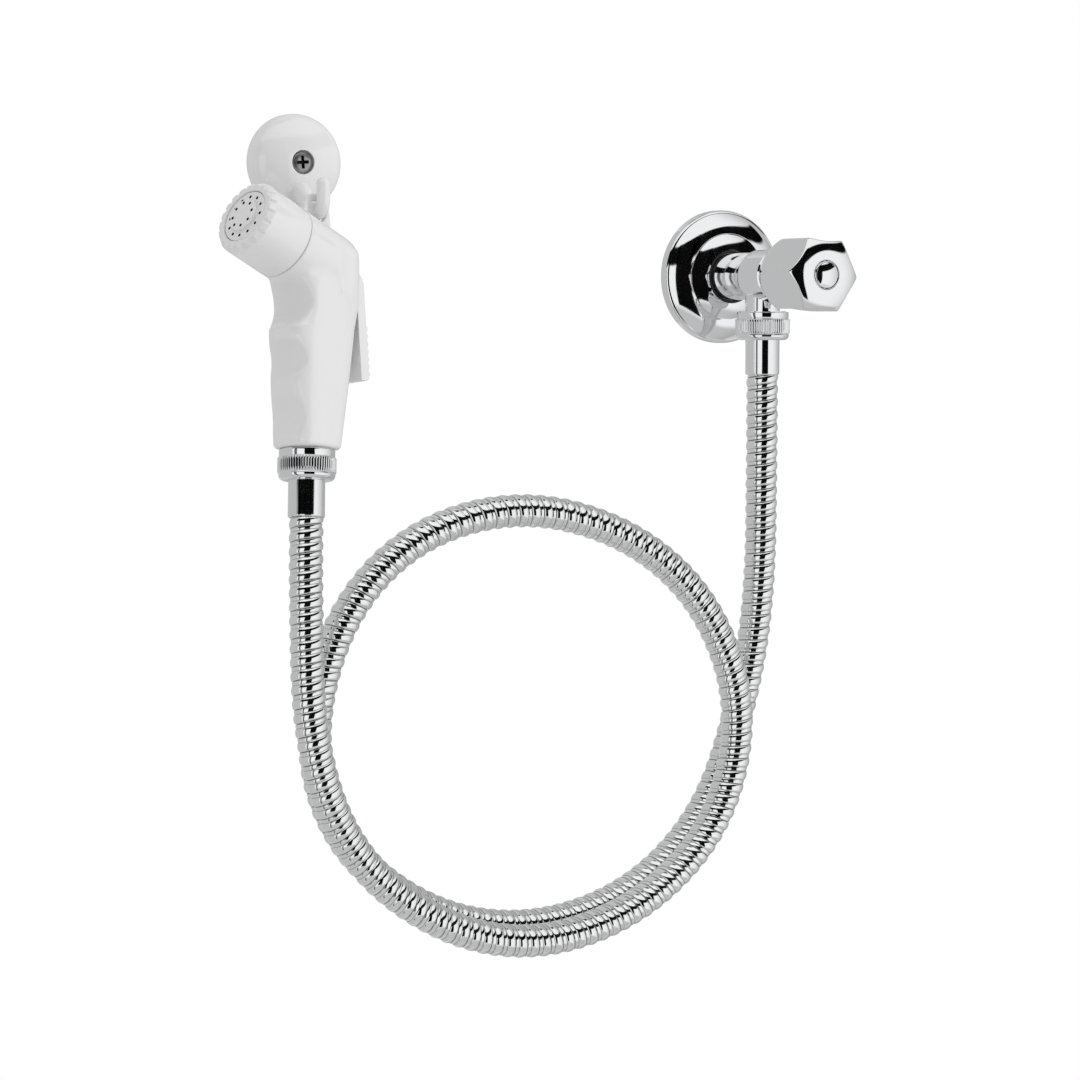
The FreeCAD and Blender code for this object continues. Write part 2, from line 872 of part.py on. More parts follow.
def make_holder_body():
    rim = size("dome_radius")
    edge = size("dome_edge")
    rise = size("dome_rise")
    wall = size("dome_wall")
    recess = size("screw_recess_radius")
    seat = size("screw_seat")
    hole = size("screw_shank_radius") + 0.15
    boss = recess + wall
    dome = turned("holder_dome", [
        (rim, 0),
        (rim, edge, (rim * 0.948, edge + rise * 0.318)),
        (rim * 0.819, edge + rise * 0.574, (rim * 0.548, edge + rise * 0.837)),
        (recess, edge + rise * 0.969),
        (recess, seat),
        (hole, seat),
        (hole, 0),
        (boss, 0),
        (boss, seat - wall, (rim * 0.55, edge + rise * 0.80 - wall)),
        (rim * 0.80 - wall * 0.6, edge + rise * 0.50 - wall * 0.6,
         (rim * 0.93 - wall, edge + rise * 0.20)),
        (rim - wall, edge - 1),
        (rim - wall, 0),
    ])
    rod = size("hook_radius").value
    bend = size("hook_bend_radius").value
    reach = size("hook_reach").value
    drop = size("hook_drop").value
    root = Vector(0, -size("hook_root_drop").value, seat.value)
    centre = Vector(0, bend - drop, reach)
    along = centre - root
    slope = math.atan2(along.y, along.z) - math.asin(bend / along.Length)
    run = math.sqrt(along.Length ** 2 - bend ** 2)
    meet = root + Vector(0, math.sin(slope), math.cos(slope)) * run
    halfway = slope / 2 + math.pi / 4
    bend_middle = centre + Vector(0, -math.cos(halfway), math.sin(halfway)) * bend
    rise_start = centre + Vector(0, 0, bend)
    tip = Vector(0, -size("hook_tip").value, reach + bend)
    path = Part.Wire([
        Part.LineSegment(root, meet).toShape(),
        Part.Arc(meet, bend_middle, rise_start).toShape(),
        Part.LineSegment(rise_start, tip).toShape(),
    ])
    start = Part.Wire([Part.Circle(root, meet - root, rod).toShape()])
    bar = path.makePipeShell([start], True, False)
    hook = bar.fuse(Part.makeSphere(rod, tip))
    root_cone = Part.makeCone(rod * 1.6, rod, run * 0.55, root, meet - root)
    return at_wall(fused("holder_body", [dome, shaped("hook_rod", hook), shaped("hook_root", root_cone)]),
                   size("holder_across"), size("holder_above"))


def make_holder_screw():
    seat = size("screw_seat") + face_gap
    head = size("screw_head_radius")
    tall = size("screw_head_height")
    shank = size("screw_shank_radius")
    thread = size("screw_thread_radius")
    body = turned("holder_screw_blank", [
        (0, -size("screw_in_wall")),
        (thread, -size("screw_in_wall") + 4),
        (thread, -0.3),
        (shank, 0),
        (shank, seat),
        (head, seat),
        (head, seat + 0.6, (head * 0.8, seat + tall * 0.82)),
        (head * 0.35, seat + tall),
        (0, seat + tall),
    ])
    bar = place(box("screw_slot", 4.6, 1.0, 1.8), -2.3, -0.5, seat + tall - 1.5)
    cross = place(box("screw_cross", 1.0, 4.6, 1.8), -0.5, -2.3, seat + tall - 1.5)
    return at_wall(cut("holder_screw", body, [bar, cross]), size("holder_across"), size("holder_above"))


# Handset: its own frame has the grip's foot at the origin, Z up the grip,
# X towards the nozzle, and the hose below

def handset_placement():
    """Hangs the top of the eye's slot on the hook's bend."""
    turn = Rotation(size("handset_turn").value, size("handset_pitch").value, size("handset_roll").value)
    bearing = eye_slot_top().value - size("hanging_slack").value
    slot = Vector(size("eye_slot_centre").value - size("hanging_offset").value, 0, bearing)
    rise = size("hook_radius").value - size("hook_drop").value + size("rest_gap").value
    seat = Vector(size("holder_across").value, -size("hook_reach").value, size("holder_above").value + rise)
    return Placement(seat - turn.multVec(slot), turn)


def nozzle_placement():
    """The nozzle's own frame: Z along its axis, with the spray disc's face at zero."""
    rise = math.radians(size("head_rise").value)
    reach = size("disc_reach").value
    base = Vector(reach * math.cos(rise), 0, size("head_height").value + reach * math.sin(rise))
    return Placement(base, Rotation(Vector(0, 1, 0), 90 - size("head_rise").value))


def make_grip():
    """Lofts the grip through its oval sections and scoops the finger recesses."""
    ovals = []
    for index, (height, front, back, half) in enumerate(GRIP_SECTIONS):
        oval = doc.addObject("Part::Ellipse", f"grip_oval_{index}")
        oval.MajorRadius = (front + back) / 2
        oval.MinorRadius = half
        place(oval, (front - back) / 2, 0, height)
        ovals.append(oval)
    loft = doc.addObject("Part::Loft", "grip_loft")
    loft.Sections = ovals
    loft.Solid = True
    loft.Ruled = False
    scoops = []
    for index, (height, deepest, radius) in enumerate(FINGER_RECESSES):
        scoop = cylinder(f"finger_scoop_{index}", radius, SCOOP_LENGTH)
        scoops.append(place(scoop, deepest + radius, SCOOP_LENGTH / 2, height, SIDEWAYS))
    doc.recompute()
    scooped = cut("grip_scooped", loft, scoops)
    soft = size("finger_soft").value
    radii = [radius for height, deepest, radius in FINGER_RECESSES]
    edges = scoop_edges(scooped.Shape, radii)
    shape = scooped.Shape.makeFillet(soft, edges)
    foot = [edge for edge in shape.Edges if edge.BoundBox.ZMax < 0.01]
    shape = shape.makeFillet(size("grip_corner").value, foot)
    return shaped("grip", shape)


def scoop_edges(shape, radii):
    """Edges where the finger recesses meet the outside of the grip."""
    found = []
    for face in shape.Faces:
        surface = face.Surface
        if isinstance(surface, Part.Cylinder) and any(abs(surface.Radius - radius) < 1e-3 for radius in radii):
            found.extend(face.Edges)
    return found


def make_handset_body(nozzle):
    grip = make_grip()
    head = size("head_radius")
    reach = size("disc_reach")
    seam = size("collar_length")
    barrel = cylinder("head_barrel", head, reach + 40 - seam)
    barrel.Placement = nozzle.multiply(Placement(Vector(0, 0, -(reach.value + 40)), Rotation()))
    back_half = doc.addObject("Part::Ellipse", "head_back_oval")
    back_half.MajorRadius = size("head_back").value + HEAD_OVAL_CENTRE
    back_half.MinorRadius = head.value + 1.3
    below = size("head_height").value - HEAD_ROOM_BELOW
    back_half.Placement = Placement(Vector(HEAD_OVAL_CENTRE, 0, below), Rotation())
    room = doc.addObject("Part::Extrusion", "head_back_room")
    room.Base = back_half
    room.DirMode = "Custom"
    room.Dir = Vector(0, 0, 1)
    room.LengthFwd = HEAD_ROOM_HEIGHT
    room.Solid = True
    doc.recompute()
    head_solid = doc.addObject("Part::Common", "head_solid")
    head_solid.Base = barrel
    head_solid.Tool = room
    doc.recompute()
    shoulder = size("shoulder_radius").value
    back_edges = [edge for edge in head_solid.Shape.Edges if edge.BoundBox.XMax < 0]
    head_round = shaped("head_rounded", head_solid.Shape.makeFillet(shoulder, back_edges))
    nose = cylinder("nozzle_nose", size("nose_radius"), seam - size("nose_short") + 5)
    nose.Placement = nozzle.multiply(Placement(Vector(0, 0, -(seam.value + 5)), Rotation()))
    centre = size("eye_centre")
    half = size("eye_width") * 0.5
    top = eye_top()
    base = size("head_height") + 4
    eye = slab("eye_plate", [
        (centre - half - 3, base),
        (centre - half, top - half, (centre, top)),
        (centre + half, top - half),
        (centre + half, base),
    ], size("eye_thickness"))
    stub = place(cylinder("inlet_stub", size("stub_radius"), size("stub_length") + 1), 0, 0, -size("stub_length"))
    solid = fused("handset_solid", [grip, head_round, nose, eye, stub])
    return cut("handset_body", solid, handset_cutters(nozzle))


def handset_cutters(nozzle):
    """Everything hollow in the handset's moulding."""
    half_slot = size("eye_slot_width") * 0.5
    slot_top = eye_slot_top()
    slot_bottom = slot_top - size("eye_slot_height")
    left = size("eye_slot_centre") - half_slot
    right = size("eye_slot_centre") + half_slot
    corner = size("eye_slot_corner")
    inset = corner * 0.2929
    slot = slab("eye_slot", [
        (left + corner, slot_bottom),
        (right - corner, slot_bottom, (right - inset, slot_bottom + inset)),
        (right, slot_bottom + corner),
        (right, slot_top - corner, (right - inset, slot_top - inset)),
        (right - corner, slot_top),
        (left + corner, slot_top, (left + inset, slot_top - inset)),
        (left, slot_top - corner),
        (left, slot_bottom + corner, (left + inset, slot_bottom + inset)),
    ], size("eye_thickness") * 6)
    wide = size("lever_width") + size("lever_side_gap") * 2
    pivot = size("pivot_height")
    bottom = pivot - size("slot_drop")
    channel_bottom = lever_foot() - size("channel_room")
    channel = place(box("lever_channel", BACK_CUT, wide, bottom - channel_bottom + 0.01),
                    -size("channel_floor") - BACK_CUT, -(wide * 0.5), channel_bottom)
    pocket = place(box("lever_slot", BACK_CUT, wide, pivot + size("slot_rise") - bottom),
                   -size("slot_floor") - BACK_CUT, -(wide * 0.5), bottom)
    pin_hole = place(cylinder("pin_hole", size("pin_radius") + gap * 0.4, size("pin_length") + 0.2),
                     -size("pivot_back"), (size("pin_length") + 0.2) * 0.5, pivot, SIDEWAYS)
    height = plunger_height()
    valve_bore = place(cylinder("valve_bore", size("cartridge_radius") + gap,
                                size("channel_floor") + size("valve_bore_end") + 2),
                       -size("channel_floor") - 2, 0, height, FRONTWARDS)
    water_in = place(cylinder("water_inlet", size("water_bore"), height + size("stub_length") + 4),
                     0.5, 0, -size("stub_length") - 4)
    water_up = place(cylinder("water_outlet", 2.2, size("head_height") - height), -8, 0, height)
    reach = size("disc_reach").value
    spray_bore = cylinder("spray_bore", 4.5, reach + 9 - size("nose_short").value - 1)
    spray_bore.Placement = nozzle.multiply(Placement(Vector(0, 0, -(reach + 9)), Rotation()))
    spray_room = cylinder("spray_room", size("nose_radius") - 2, 6)
    spray_room.Placement = nozzle.multiply(Placement(Vector(0, 0, -size("nose_short").value - 5), Rotation()))
    return [slot, channel, pocket, pin_hole, valve_bore, water_in, water_up, spray_bore, spray_room]


def make_nozzle_collar():
    head = size("head_radius")
    nose = size("nose_radius") + gap
    lip = size("collar_lip")
    front = size("collar_front")
    hole = size("collar_lip_radius")
    seam = size("collar_length") - 0.35
    collar = turned("nozzle_collar", [
        (nose, -seam),
        (head - 0.3, -seam),
        (head, -seam + 0.3),
        (head, front - 2.3),
        (head - 1.5, front),
        (hole + 0.25, front),
        (hole, front - 0.25),
        (hole, -lip),
        (nose, -lip),
    ])
    notch = collar.newObject("PartDesign::SubtractiveCylinder", "rim_notch")
    bind(notch, "Radius", size("notch_radius"))
    notch.Height = 8
    notch.Placement = Placement(Vector(head.value - 3.2, 0, front.value + 2.2), Rotation(Vector(0, 1, 0), 135))
    collar.Tip = notch
    doc.recompute()
    repeat_round_axis(collar, "rim_notch", notch, size("collar_notches"))
    return collar


def make_spray_face():
    rim = size("disc_radius")
    centre = size("disc_centre_radius")
    rise = size("disc_centre_rise")
    flange = size("nose_radius") - 0.1
    back = size("nose_short") - size("gasket_thickness") - face_gap
    lip = size("collar_lip") + face_gap
    face = turned("spray_face", [
        (0, rise - 1.5),
        (centre - 1, rise - 1.5),
        (centre - 1, -back),
        (flange, -back),
        (flange, -lip),
        (rim, -lip),
        (rim, -0.5, (rim - 0.15, -0.15)),
        (rim - 0.5, 0),
        (centre + 0.3, 0, (centre - 0.1, rise * 0.5)),
        (centre - 0.6, rise),
        (0, rise),
    ])
    outer = circle_sketch(face, "outer_hole", "XY_Plane", size("spray_hole_radius"), size("outer_ring_radius"))
    cut_round_axis(face, "outer_holes", outer, size("outer_ring_holes"))
    inner = circle_sketch(face, "inner_hole", "XY_Plane", size("spray_hole_radius"), size("inner_ring_radius"))
    cut_round_axis(face, "inner_holes", inner, size("inner_ring_holes"))
    return face


def make_spray_gasket():
    back = size("nose_short")
    thick = size("gasket_thickness") - face_gap
    return turned("spray_gasket", [
        (size("nose_radius") - 2, -back + face_gap * 0.5),
        (size("nose_radius") - 0.1, -back + face_gap * 0.5),
        (size("nose_radius") - 0.1, -back + thick),
        (size("nose_radius") - 2, -back + thick),
    ])


def make_trigger_lever():
    """Lever with a ribbed back, hinged at its top."""
    bottom = lever_foot()
    inner = size("lever_bottom_back")
    thick = size("lever_thickness")
    pivot = size("pivot_back")
    tall = size("pivot_height")
    boss = size("pivot_boss")
    blank = slab("lever_blank", [
        (-inner, bottom),
        (-inner - thick + 0.7, bottom + 0.1),
        (-inner - thick, bottom + 0.8),
        (-inner - thick, bottom + 4),
        (-pivot - 9.6, tall - 15),
        (-pivot - 8.4, tall - 2.8, (-pivot - 7.0, tall + 1.6)),
        (-pivot - 3.8, tall + 3.8),
        (-pivot, tall + boss, (-pivot + boss, tall)),
        (-pivot - boss * 0.4, tall - boss * 0.9165),
        (-pivot - 4.5, tall - 9.5),
    ], size("lever_width"))
    ribs = []
    lowest = bottom + size("first_rib_rise")
    slope = 2.3 / 23.0
    for index in range(int(size("rib_count").value)):
        height = lowest + size("rib_pitch") * index
        back = inner + thick - 0.5 - (height - bottom - 4) * slope * 0.9
        rib = cylinder(f"lever_rib_{index}", size("rib_radius"), size("lever_width") - 0.6)
        ribs.append(place(rib, -back, size("lever_width") * 0.5 - 0.3, height, SIDEWAYS))
    solid = fused("lever_solid", [blank] + ribs)
    hole = place(cylinder("lever_hole", size("pin_radius") + gap, size("lever_width") + 2),
                 -pivot, size("lever_width") * 0.5 + 1, tall, SIDEWAYS)
    return cut("trigger_lever", solid, [hole])


def make_lever_pin():
    pin = cylinder("lever_pin", size("pin_radius"), size("pin_length"))
    pin.Label = "lever_pin"
    return place(pin, -size("pivot_back"), size("pin_length") * 0.5, size("pivot_height"), SIDEWAYS)


def make_valve_cartridge():
    """Turned sleeve pushed into the grip: stem guide behind, seat in front."""
    floor = size("channel_floor") + 0.1
    seat = size("cartridge_seat")
    rim = size("cartridge_radius")
    stem = size("stem_radius") + gap
    blank = turned("cartridge_blank", [
        (stem, -floor),
        (rim, -floor),
        (rim, -floor + 2.2),
        (rim - 1.0, -floor + 2.2),
        (rim - 1.0, -floor + 4.0),
        (rim, -floor + 4.0),
        (rim, -seat - 0.5),
        (rim - 0.9, -seat - 0.5),
        (rim - 1.3, -seat),
        (stem + 1.5, -seat),
        (stem + 1.5, -floor + 6.8),
        (stem, -floor + 6.8),
    ])
    window = place(cylinder("cartridge_window", 1.9, 12), 0, 6, -8, SIDEWAYS)
    window_up = place(cylinder("cartridge_window_up", 1.9, 12), -6, 0, -8, FRONTWARDS)
    return cut("valve_cartridge", blank, [window, window_up])


def make_plunger():
    stem = size("stem_radius")
    seat = size("cartridge_seat")
    disc = seat - size("plunger_seal") - face_gap
    rim = size("plunger_disc_radius")
    return turned("plunger", [
        (0, -size("plunger_tip")),
        (stem - 0.9, -size("plunger_tip"), (stem - 0.25, -size("plunger_tip") + 0.25)),
        (stem, -size("plunger_tip") + 0.9),
        (stem, -disc),
        (rim, -disc),
        (rim, -disc + 1.5),
        (size("spring_radius") - size("spring_wire") * 2 - 0.4, -disc + 1.5),
        (size("spring_radius") - size("spring_wire") * 2 - 0.4, 1.4),
        (0, 1.4),
    ])


def make_plunger_seal():
    seat = size("cartridge_seat")
    return turned("plunger_seal", [
        (size("stem_radius") + 0.02, -seat + face_gap * 0.5),
        (size("plunger_disc_radius"), -seat + face_gap * 0.5),
        (size("plunger_disc_radius"), -seat + size("plunger_seal")),
        (size("stem_radius") + 0.02, -seat + size("plunger_seal")),
    ])


def make_plunger_spring():
    wire = size("spring_wire").value
    coil = size("spring_radius").value
    disc = size("cartridge_seat").value - size("plunger_seal").value - size("face_gap").value
    low = -disc + 1.5 + wire + 0.03
    high = size("valve_bore_end").value - wire - 0.03
    turns = size("spring_turns").value
    helix = Part.makeHelix((high - low) / turns, high - low, coil - wire)
    start = Part.Wire([Part.Circle(Vector(coil - wire, 0, 0), Vector(0, 1, 0), wire).toShape()])
    spring = Part.Wire(helix.Edges).makePipeShell([start], True, True)
    spring.translate(Vector(0, 0, low))
    return shaped("plunger_spring", spring)


def make_cartridge_seal():
    floor = size("channel_floor") + 0.1
    return place(ring("cartridge_o_ring", size("cartridge_radius") - 0.45, Size(0.44, "0.44")), 0, 0, -floor + 3.1)


def make_stem_seal():
    floor = size("channel_floor") + 0.1
    return place(ring("stem_o_ring", size("stem_radius") + 0.75, Size(0.7, "0.7")), 0, 0, -floor + 7.55)


# Hose

def hose_points(handset):
    """Route of the hose: out of one ferrule, by hand, and into the other."""
    down = handset.Rotation.multVec(Vector(0, 0, -1))
    first = handset.Base + down * size("ferrule_end").value
    last = Vector(0, -size("outlet_position").value, -size("outlet_drop").value - size("ferrule_end").value)
    route = [first, first + down * HOSE_END_RUN]
    route.extend(Vector(*point) for point in HOSE_ROUTE)
    route.append(Vector(*HOSE_LAST_BEND))
    route.append(last - Vector(0, 0, HOSE_END_RUN))
    route.append(last)
    return route


def make_hose(handset):
    """Straight runs joined by tangent arcs, with a plain round section."""
    points = hose_points(handset)
    edges = []
    start = points[0]
    radii = []
    for before, corner, after in zip(points, points[1:], points[2:]):
        into = (corner - before).normalize()
        out = (after - corner).normalize()
        trim = ARC_SHARE * min((corner - before).Length, (after - corner).Length)
        turn = into.getAngle(out)
        radius = trim / math.tan(turn / 2)
        radii.append(radius)
        arc_start = corner - into * trim
        arc_end = corner + out * trim
        toward = (out - into).normalize()
        middle = corner + toward * (radius / math.cos(turn / 2) - radius)
        edges.append(Part.LineSegment(start, arc_start).toShape())
        edges.append(Part.Arc(arc_start, middle, arc_end).toShape())
        start = arc_end
    edges.append(Part.LineSegment(start, points[-1]).toShape())
    path = Part.Wire(edges)
    radius = size("hose_radius").value
    section = Part.Wire([Part.Circle(points[0], points[1] - points[0], radius).toShape()])
    tube = path.makePipeShell([section], True, False, 2)
    expected = math.pi * radius ** 2 * path.Length
    print("hose length %.1f, least radius %.1f" % (path.Length, min(radii)))
    print("hose radii " + " ".join("%.0f" % value for value in radii))
    print("hose volume %.0f, section times length %.0f" % (tube.Volume, expected))
    return shaped("hose", tube)


# Assembly

def hose_end_pieces(prefix):
    return [
        make_nut(prefix + "_nut"),
        make_hose_washer(prefix + "_washer"),
        make_nipple(prefix + "_nipple"),
        make_ferrule(prefix + "_ferrule"),
    ]


def build():
    fill_sheet()
    doc.recompute()
    pieces = [
        make_valve_body(),
        make_wall_flange(),
        make_flange_ring(),
        make_headwork(),
        make_spindle(),
        make_spindle_seal(),
        make_jumper(),
        make_valve_washer(),
        make_washer_screw(),
        make_tap_handle(),
        make_handle_screw(),
        make_handle_button(),
        make_holder_body(),
        make_holder_screw(),
    ]
    for piece in hose_end_pieces("tap_end"):
        pieces.append(place(piece, 0, -size("outlet_position"), -size("outlet_drop")))
    handset = handset_placement()
    for piece in hose_end_pieces("handset_end"):
        pieces.append(carry(piece, handset))
    nozzle = nozzle_placement()
    for piece in (make_handset_body(nozzle), make_trigger_lever(), make_lever_pin()):
        pieces.append(carry(piece, handset))
    for piece in (make_nozzle_collar(), make_spray_face(), make_spray_gasket()):
        pieces.append(carry(piece, handset.multiply(nozzle)))
    valve_axis = handset.multiply(Placement(Vector(0, 0, plunger_height().value), FRONTWARDS))
    for piece in (make_valve_cartridge(), make_plunger(), make_plunger_seal(), make_plunger_spring(),
                  make_cartridge_seal(), make_stem_seal()):
        pieces.append(carry(piece, valve_axis))
    pieces.append(make_hose(handset))
    doc.recompute()
    return pieces


def check(pieces):
    """Stops the build if an object failed or a piece isn't one sound solid."""
    failed = [item.Name for item in doc.Objects if "Invalid" in item.State or "Error" in item.State]
    if failed:
        raise RuntimeError("objects failed: " + ", ".join(failed))
    for piece in pieces:
        if piece.Shape.isNull() or not piece.Shape.isValid() or not piece.Shape.Solids:
            raise RuntimeError("unsound piece: " + piece.Label)


def write(pieces):
    os.makedirs("parts", exist_ok=True)
    for piece in pieces:
        piece.Shape.exportStep(os.path.join("parts", piece.Label + ".step"))
        print("%-22s solids %d volume %.1f" % (piece.Label, len(piece.Shape.Solids), piece.Shape.Volume))


made = build()
check(made)
write(made)
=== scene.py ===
# %% [markdown]
# # A handheld bidet shower
# A chrome wall tap feeds a wound metal hose, and the hose feeds a white trigger
# handset that hangs by its eye on a domed wall hook. The sizes come from a solid
# model, so this lesson starts by loading that model as a frame that nothing may move.

# %% Load the frame
import math

import bmesh
import bpy
from mathutils import Matrix, Vector


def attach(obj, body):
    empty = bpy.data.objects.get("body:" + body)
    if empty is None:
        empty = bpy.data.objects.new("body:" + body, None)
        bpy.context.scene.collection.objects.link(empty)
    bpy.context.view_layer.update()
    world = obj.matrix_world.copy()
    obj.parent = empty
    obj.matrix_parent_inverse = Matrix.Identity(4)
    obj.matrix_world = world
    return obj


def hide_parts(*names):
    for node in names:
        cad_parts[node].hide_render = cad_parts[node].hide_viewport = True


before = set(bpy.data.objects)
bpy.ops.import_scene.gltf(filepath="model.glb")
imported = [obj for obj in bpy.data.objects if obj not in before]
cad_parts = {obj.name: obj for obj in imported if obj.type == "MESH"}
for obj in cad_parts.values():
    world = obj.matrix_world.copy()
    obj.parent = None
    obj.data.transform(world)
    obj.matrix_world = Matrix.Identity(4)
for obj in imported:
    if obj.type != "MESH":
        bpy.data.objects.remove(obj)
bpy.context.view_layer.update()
print("frame loaded:", len(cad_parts), "nodes")

# %% [markdown]
# ## The camera
# The photograph was taken level with the tap and well to its left, from about
# 1.4 metres. A long lens keeps the round flange round. The camera stands where a
# line from the tap's inlet runs 27.5 degrees to the left of the wall's normal.
# It could be aimed by hand, but the lens and the horizon were measured instead.

# %% Camera
SIDE_ANGLE = math.radians(27.5)
FOCAL_PIXELS = 3000
PHOTO_PIXELS = 1080
HORIZON_PIXELS = 226
SENSOR_WIDTH = 36
CAMERA_PLACE = Vector((-0.71989, -1.20358, -0.0172))


def placed(name, data):
    """Puts data into the scene as an object."""
    thing = bpy.data.objects.new(name, data)
    bpy.context.scene.collection.objects.link(thing)
    return thing


camera_data = bpy.data.cameras.new("photo_camera")
camera_data.sensor_width = SENSOR_WIDTH
camera_data.sensor_fit = "HORIZONTAL"
camera_data.lens = SENSOR_WIDTH * (FOCAL_PIXELS / PHOTO_PIXELS)
camera = placed("photo_camera", camera_data)
camera.location = CAMERA_PLACE
look = Vector((math.sin(SIDE_ANGLE), math.cos(SIDE_ANGLE), -HORIZON_PIXELS / FOCAL_PIXELS))
camera.rotation_euler = look.to_track_quat("-Z", "Y").to_euler()
bpy.context.scene.camera = camera
bpy.context.scene.view_settings.view_transform = "Standard"
print("camera looks along", [round(part, 3) for part in look])

# %% [markdown]
# ## Studio
# Polished chrome has no colour of its own: it shows the room. A product studio for
# chrome is a white room with a dark flag or two, because the dark bands are what
# make a tube look round. Black boards could stand round the object, but they would
# also shade it. Here the world itself holds the flags, as numbers. A flag is a
# patch of the sky between two bearings and two heights, so two small helpers build
# sums and soft edges out of nodes.

# %% Helpers for numbers in nodes


def number_node(tree, operation, first, second, third=None):
    """A Math node on values or sockets."""
    node = tree.nodes.new("ShaderNodeMath")
    node.operation = operation
    for index, value in enumerate((first, second, third)):
        if value is None:
            continue
        if isinstance(value, (int, float)):
            node.inputs[index].default_value = value
        else:
            tree.links.new(value, node.inputs[index])
    return node.outputs[0]


def edge_node(tree, value, edge, soft, upward):
    """Climbs from zero to one across an edge, or falls from one to zero."""
    node = tree.nodes.new("ShaderNodeMapRange")
    node.interpolation_type = "SMOOTHSTEP"
    tree.links.new(value, node.inputs["Value"])
    node.inputs["From Min"].default_value = edge - soft
    node.inputs["From Max"].default_value = edge + soft
    node.inputs["To Min"].default_value = 0 if upward else 1
    node.inputs["To Max"].default_value = 1 if upward else 0
    return node.outputs["Result"]


# %% [markdown]
# ### Dark flags
# The black upright bar gives the tubes their dark line. The two black bars above
# the horizon are mirrored in the flange and the knob, and the grey areas behind
# and below keep the metal from going flat white. Every number was moved until the
# reflections fell where the photograph has them.

# %% Dark flags
# Bearing from and to, height from and to, tilt of the lower edge, soft edge, darkness.
# Bearings are degrees to the right of the wall's normal, seen from the object.
FLAGS = [
    (-34, 8, -31, 36, 0.0, 1.0, 0.997),
    (0, 88, 9.5, 35, 0.14, 1.5, 0.997),
    (-90, -30, 13, 35, 0.0, 1.5, 0.997),
    (-76, -64, -60, 30, 0.0, 2.0, 0.85),
    (-181, -84, -90, 90, 0.0, 3.0, 0.44),
    (75, 181, -90, 90, 0.0, 45.0, 0.55),
    (-100, 100, 75, 91, 0.0, 2.0, 0.97),
    (-84, 74, -91, -34, 0.0, 6.0, 0.42),
]


def directions(tree):
    """The bearing and the height, in degrees, that a ray of light comes from."""
    place = tree.nodes.new("ShaderNodeTexCoord")
    split = tree.nodes.new("ShaderNodeSeparateXYZ")
    tree.links.new(place.outputs["Generated"], split.inputs[0])
    x, y, z = split.outputs
    forward = number_node(tree, "MULTIPLY", y, -1)
    bearing = number_node(tree, "ARCTAN2", x, forward)
    height = number_node(tree, "ARCSINE", z, 0)
    return [number_node(tree, "MULTIPLY", angle, 180 / math.pi) for angle in (bearing, height)]


def flag_keep(tree, bearing, height, flag):
    """The share of light that one flag lets through: one beside it, little behind it."""
    low, high, under, over, tilt, soft, dark = flag
    lifted = number_node(tree, "MULTIPLY_ADD", bearing, -tilt, height) if tilt else height
    edges = [
        edge_node(tree, bearing, low, soft, True),
        edge_node(tree, bearing, high, soft, False),
        edge_node(tree, lifted, under, soft, True),
        edge_node(tree, height, over, soft, False),
    ]
    shade = edges[0]
    for edge in edges[1:]:
        shade = number_node(tree, "MULTIPLY", shade, edge)
    return number_node(tree, "MULTIPLY_ADD", shade, -dark, 1)


# %% [markdown]
# ### The world
# Light from the world is plain and even. Only mirror rays see the flags, so the
# white plastic stays evenly lit, and the camera sees a white ground.

# %% World
PLAIN_LIGHT = 0.8


def build_world():
    """One sky that differs for matt surfaces, for mirrors and for the camera."""
    world = bpy.data.worlds.new("studio")
    bpy.context.scene.world = world
    world.use_nodes = True
    tree = world.node_tree
    tree.nodes.clear()
    bearing, height = directions(tree)
    level = None
    for flag in FLAGS:
        keep = flag_keep(tree, bearing, height, flag)
        level = keep if level is None else number_node(tree, "MULTIPLY", level, keep)
    path = tree.nodes.new("ShaderNodeLightPath")
    room = tree.nodes.new("ShaderNodeMix")
    tree.links.new(path.outputs["Is Glossy Ray"], room.inputs[0])
    room.inputs[2].default_value = PLAIN_LIGHT
    tree.links.new(level, room.inputs[3])
    seen = tree.nodes.new("ShaderNodeMix")
    tree.links.new(path.outputs["Is Camera Ray"], seen.inputs[0])
    tree.links.new(room.outputs[0], seen.inputs[2])
    seen.inputs[3].default_value = 1
    glow = tree.nodes.new("ShaderNodeBackground")
    glow.inputs["Color"].default_value = (1, 1, 1, 1)
    tree.links.new(seen.outputs[0], glow.inputs["Strength"])
    out = tree.nodes.new("ShaderNodeOutputWorld")
    tree.links.new(glow.outputs[0], out.inputs[0])
    print("world built with", len(FLAGS), "flags")


build_world()

# %% [markdown]
# ### Key light
# One large softbox to the right makes the right sides of the white pieces a little
# lighter than their left sides. It is hidden from mirror rays, because a square of
# light in the chrome would show where no window is.

# %% Key light
KEY_PLACE = (1.0, -1.1, 0.8)
KEY_AIM = (-0.15, -0.05, 0.0)
KEY_SIZE = 0.8
KEY_POWER = 9.5


def softbox(name, place, aim, size, power):
    """A square area lamp pointed at a spot on the object."""
    data = bpy.data.lights.new(name, "AREA")
    data.shape = "SQUARE"
    data.size = size
    data.energy = power
    lamp = placed(name, data)
    lamp.location = place
    lamp.rotation_euler = (Vector(aim) - Vector(place)).to_track_quat("-Z", "Y").to_euler()
    lamp.visible_glossy = False
    return lamp


key = softbox("key_softbox", KEY_PLACE, KEY_AIM, KEY_SIZE, KEY_POWER)
print(key.name, "gives", key.data.energy, "watts")

# %% [markdown]
# ### Floor
# A pale sheet well below the hose. The camera sees it as white paper, and it still
# throws soft light up onto the undersides. Mirrors don't see it, because the world
# already holds what lies below.

# %% Floor
FLOOR_HEIGHT = -0.42
FLOOR_HALF = 6
PAPER_GREY = 0.85


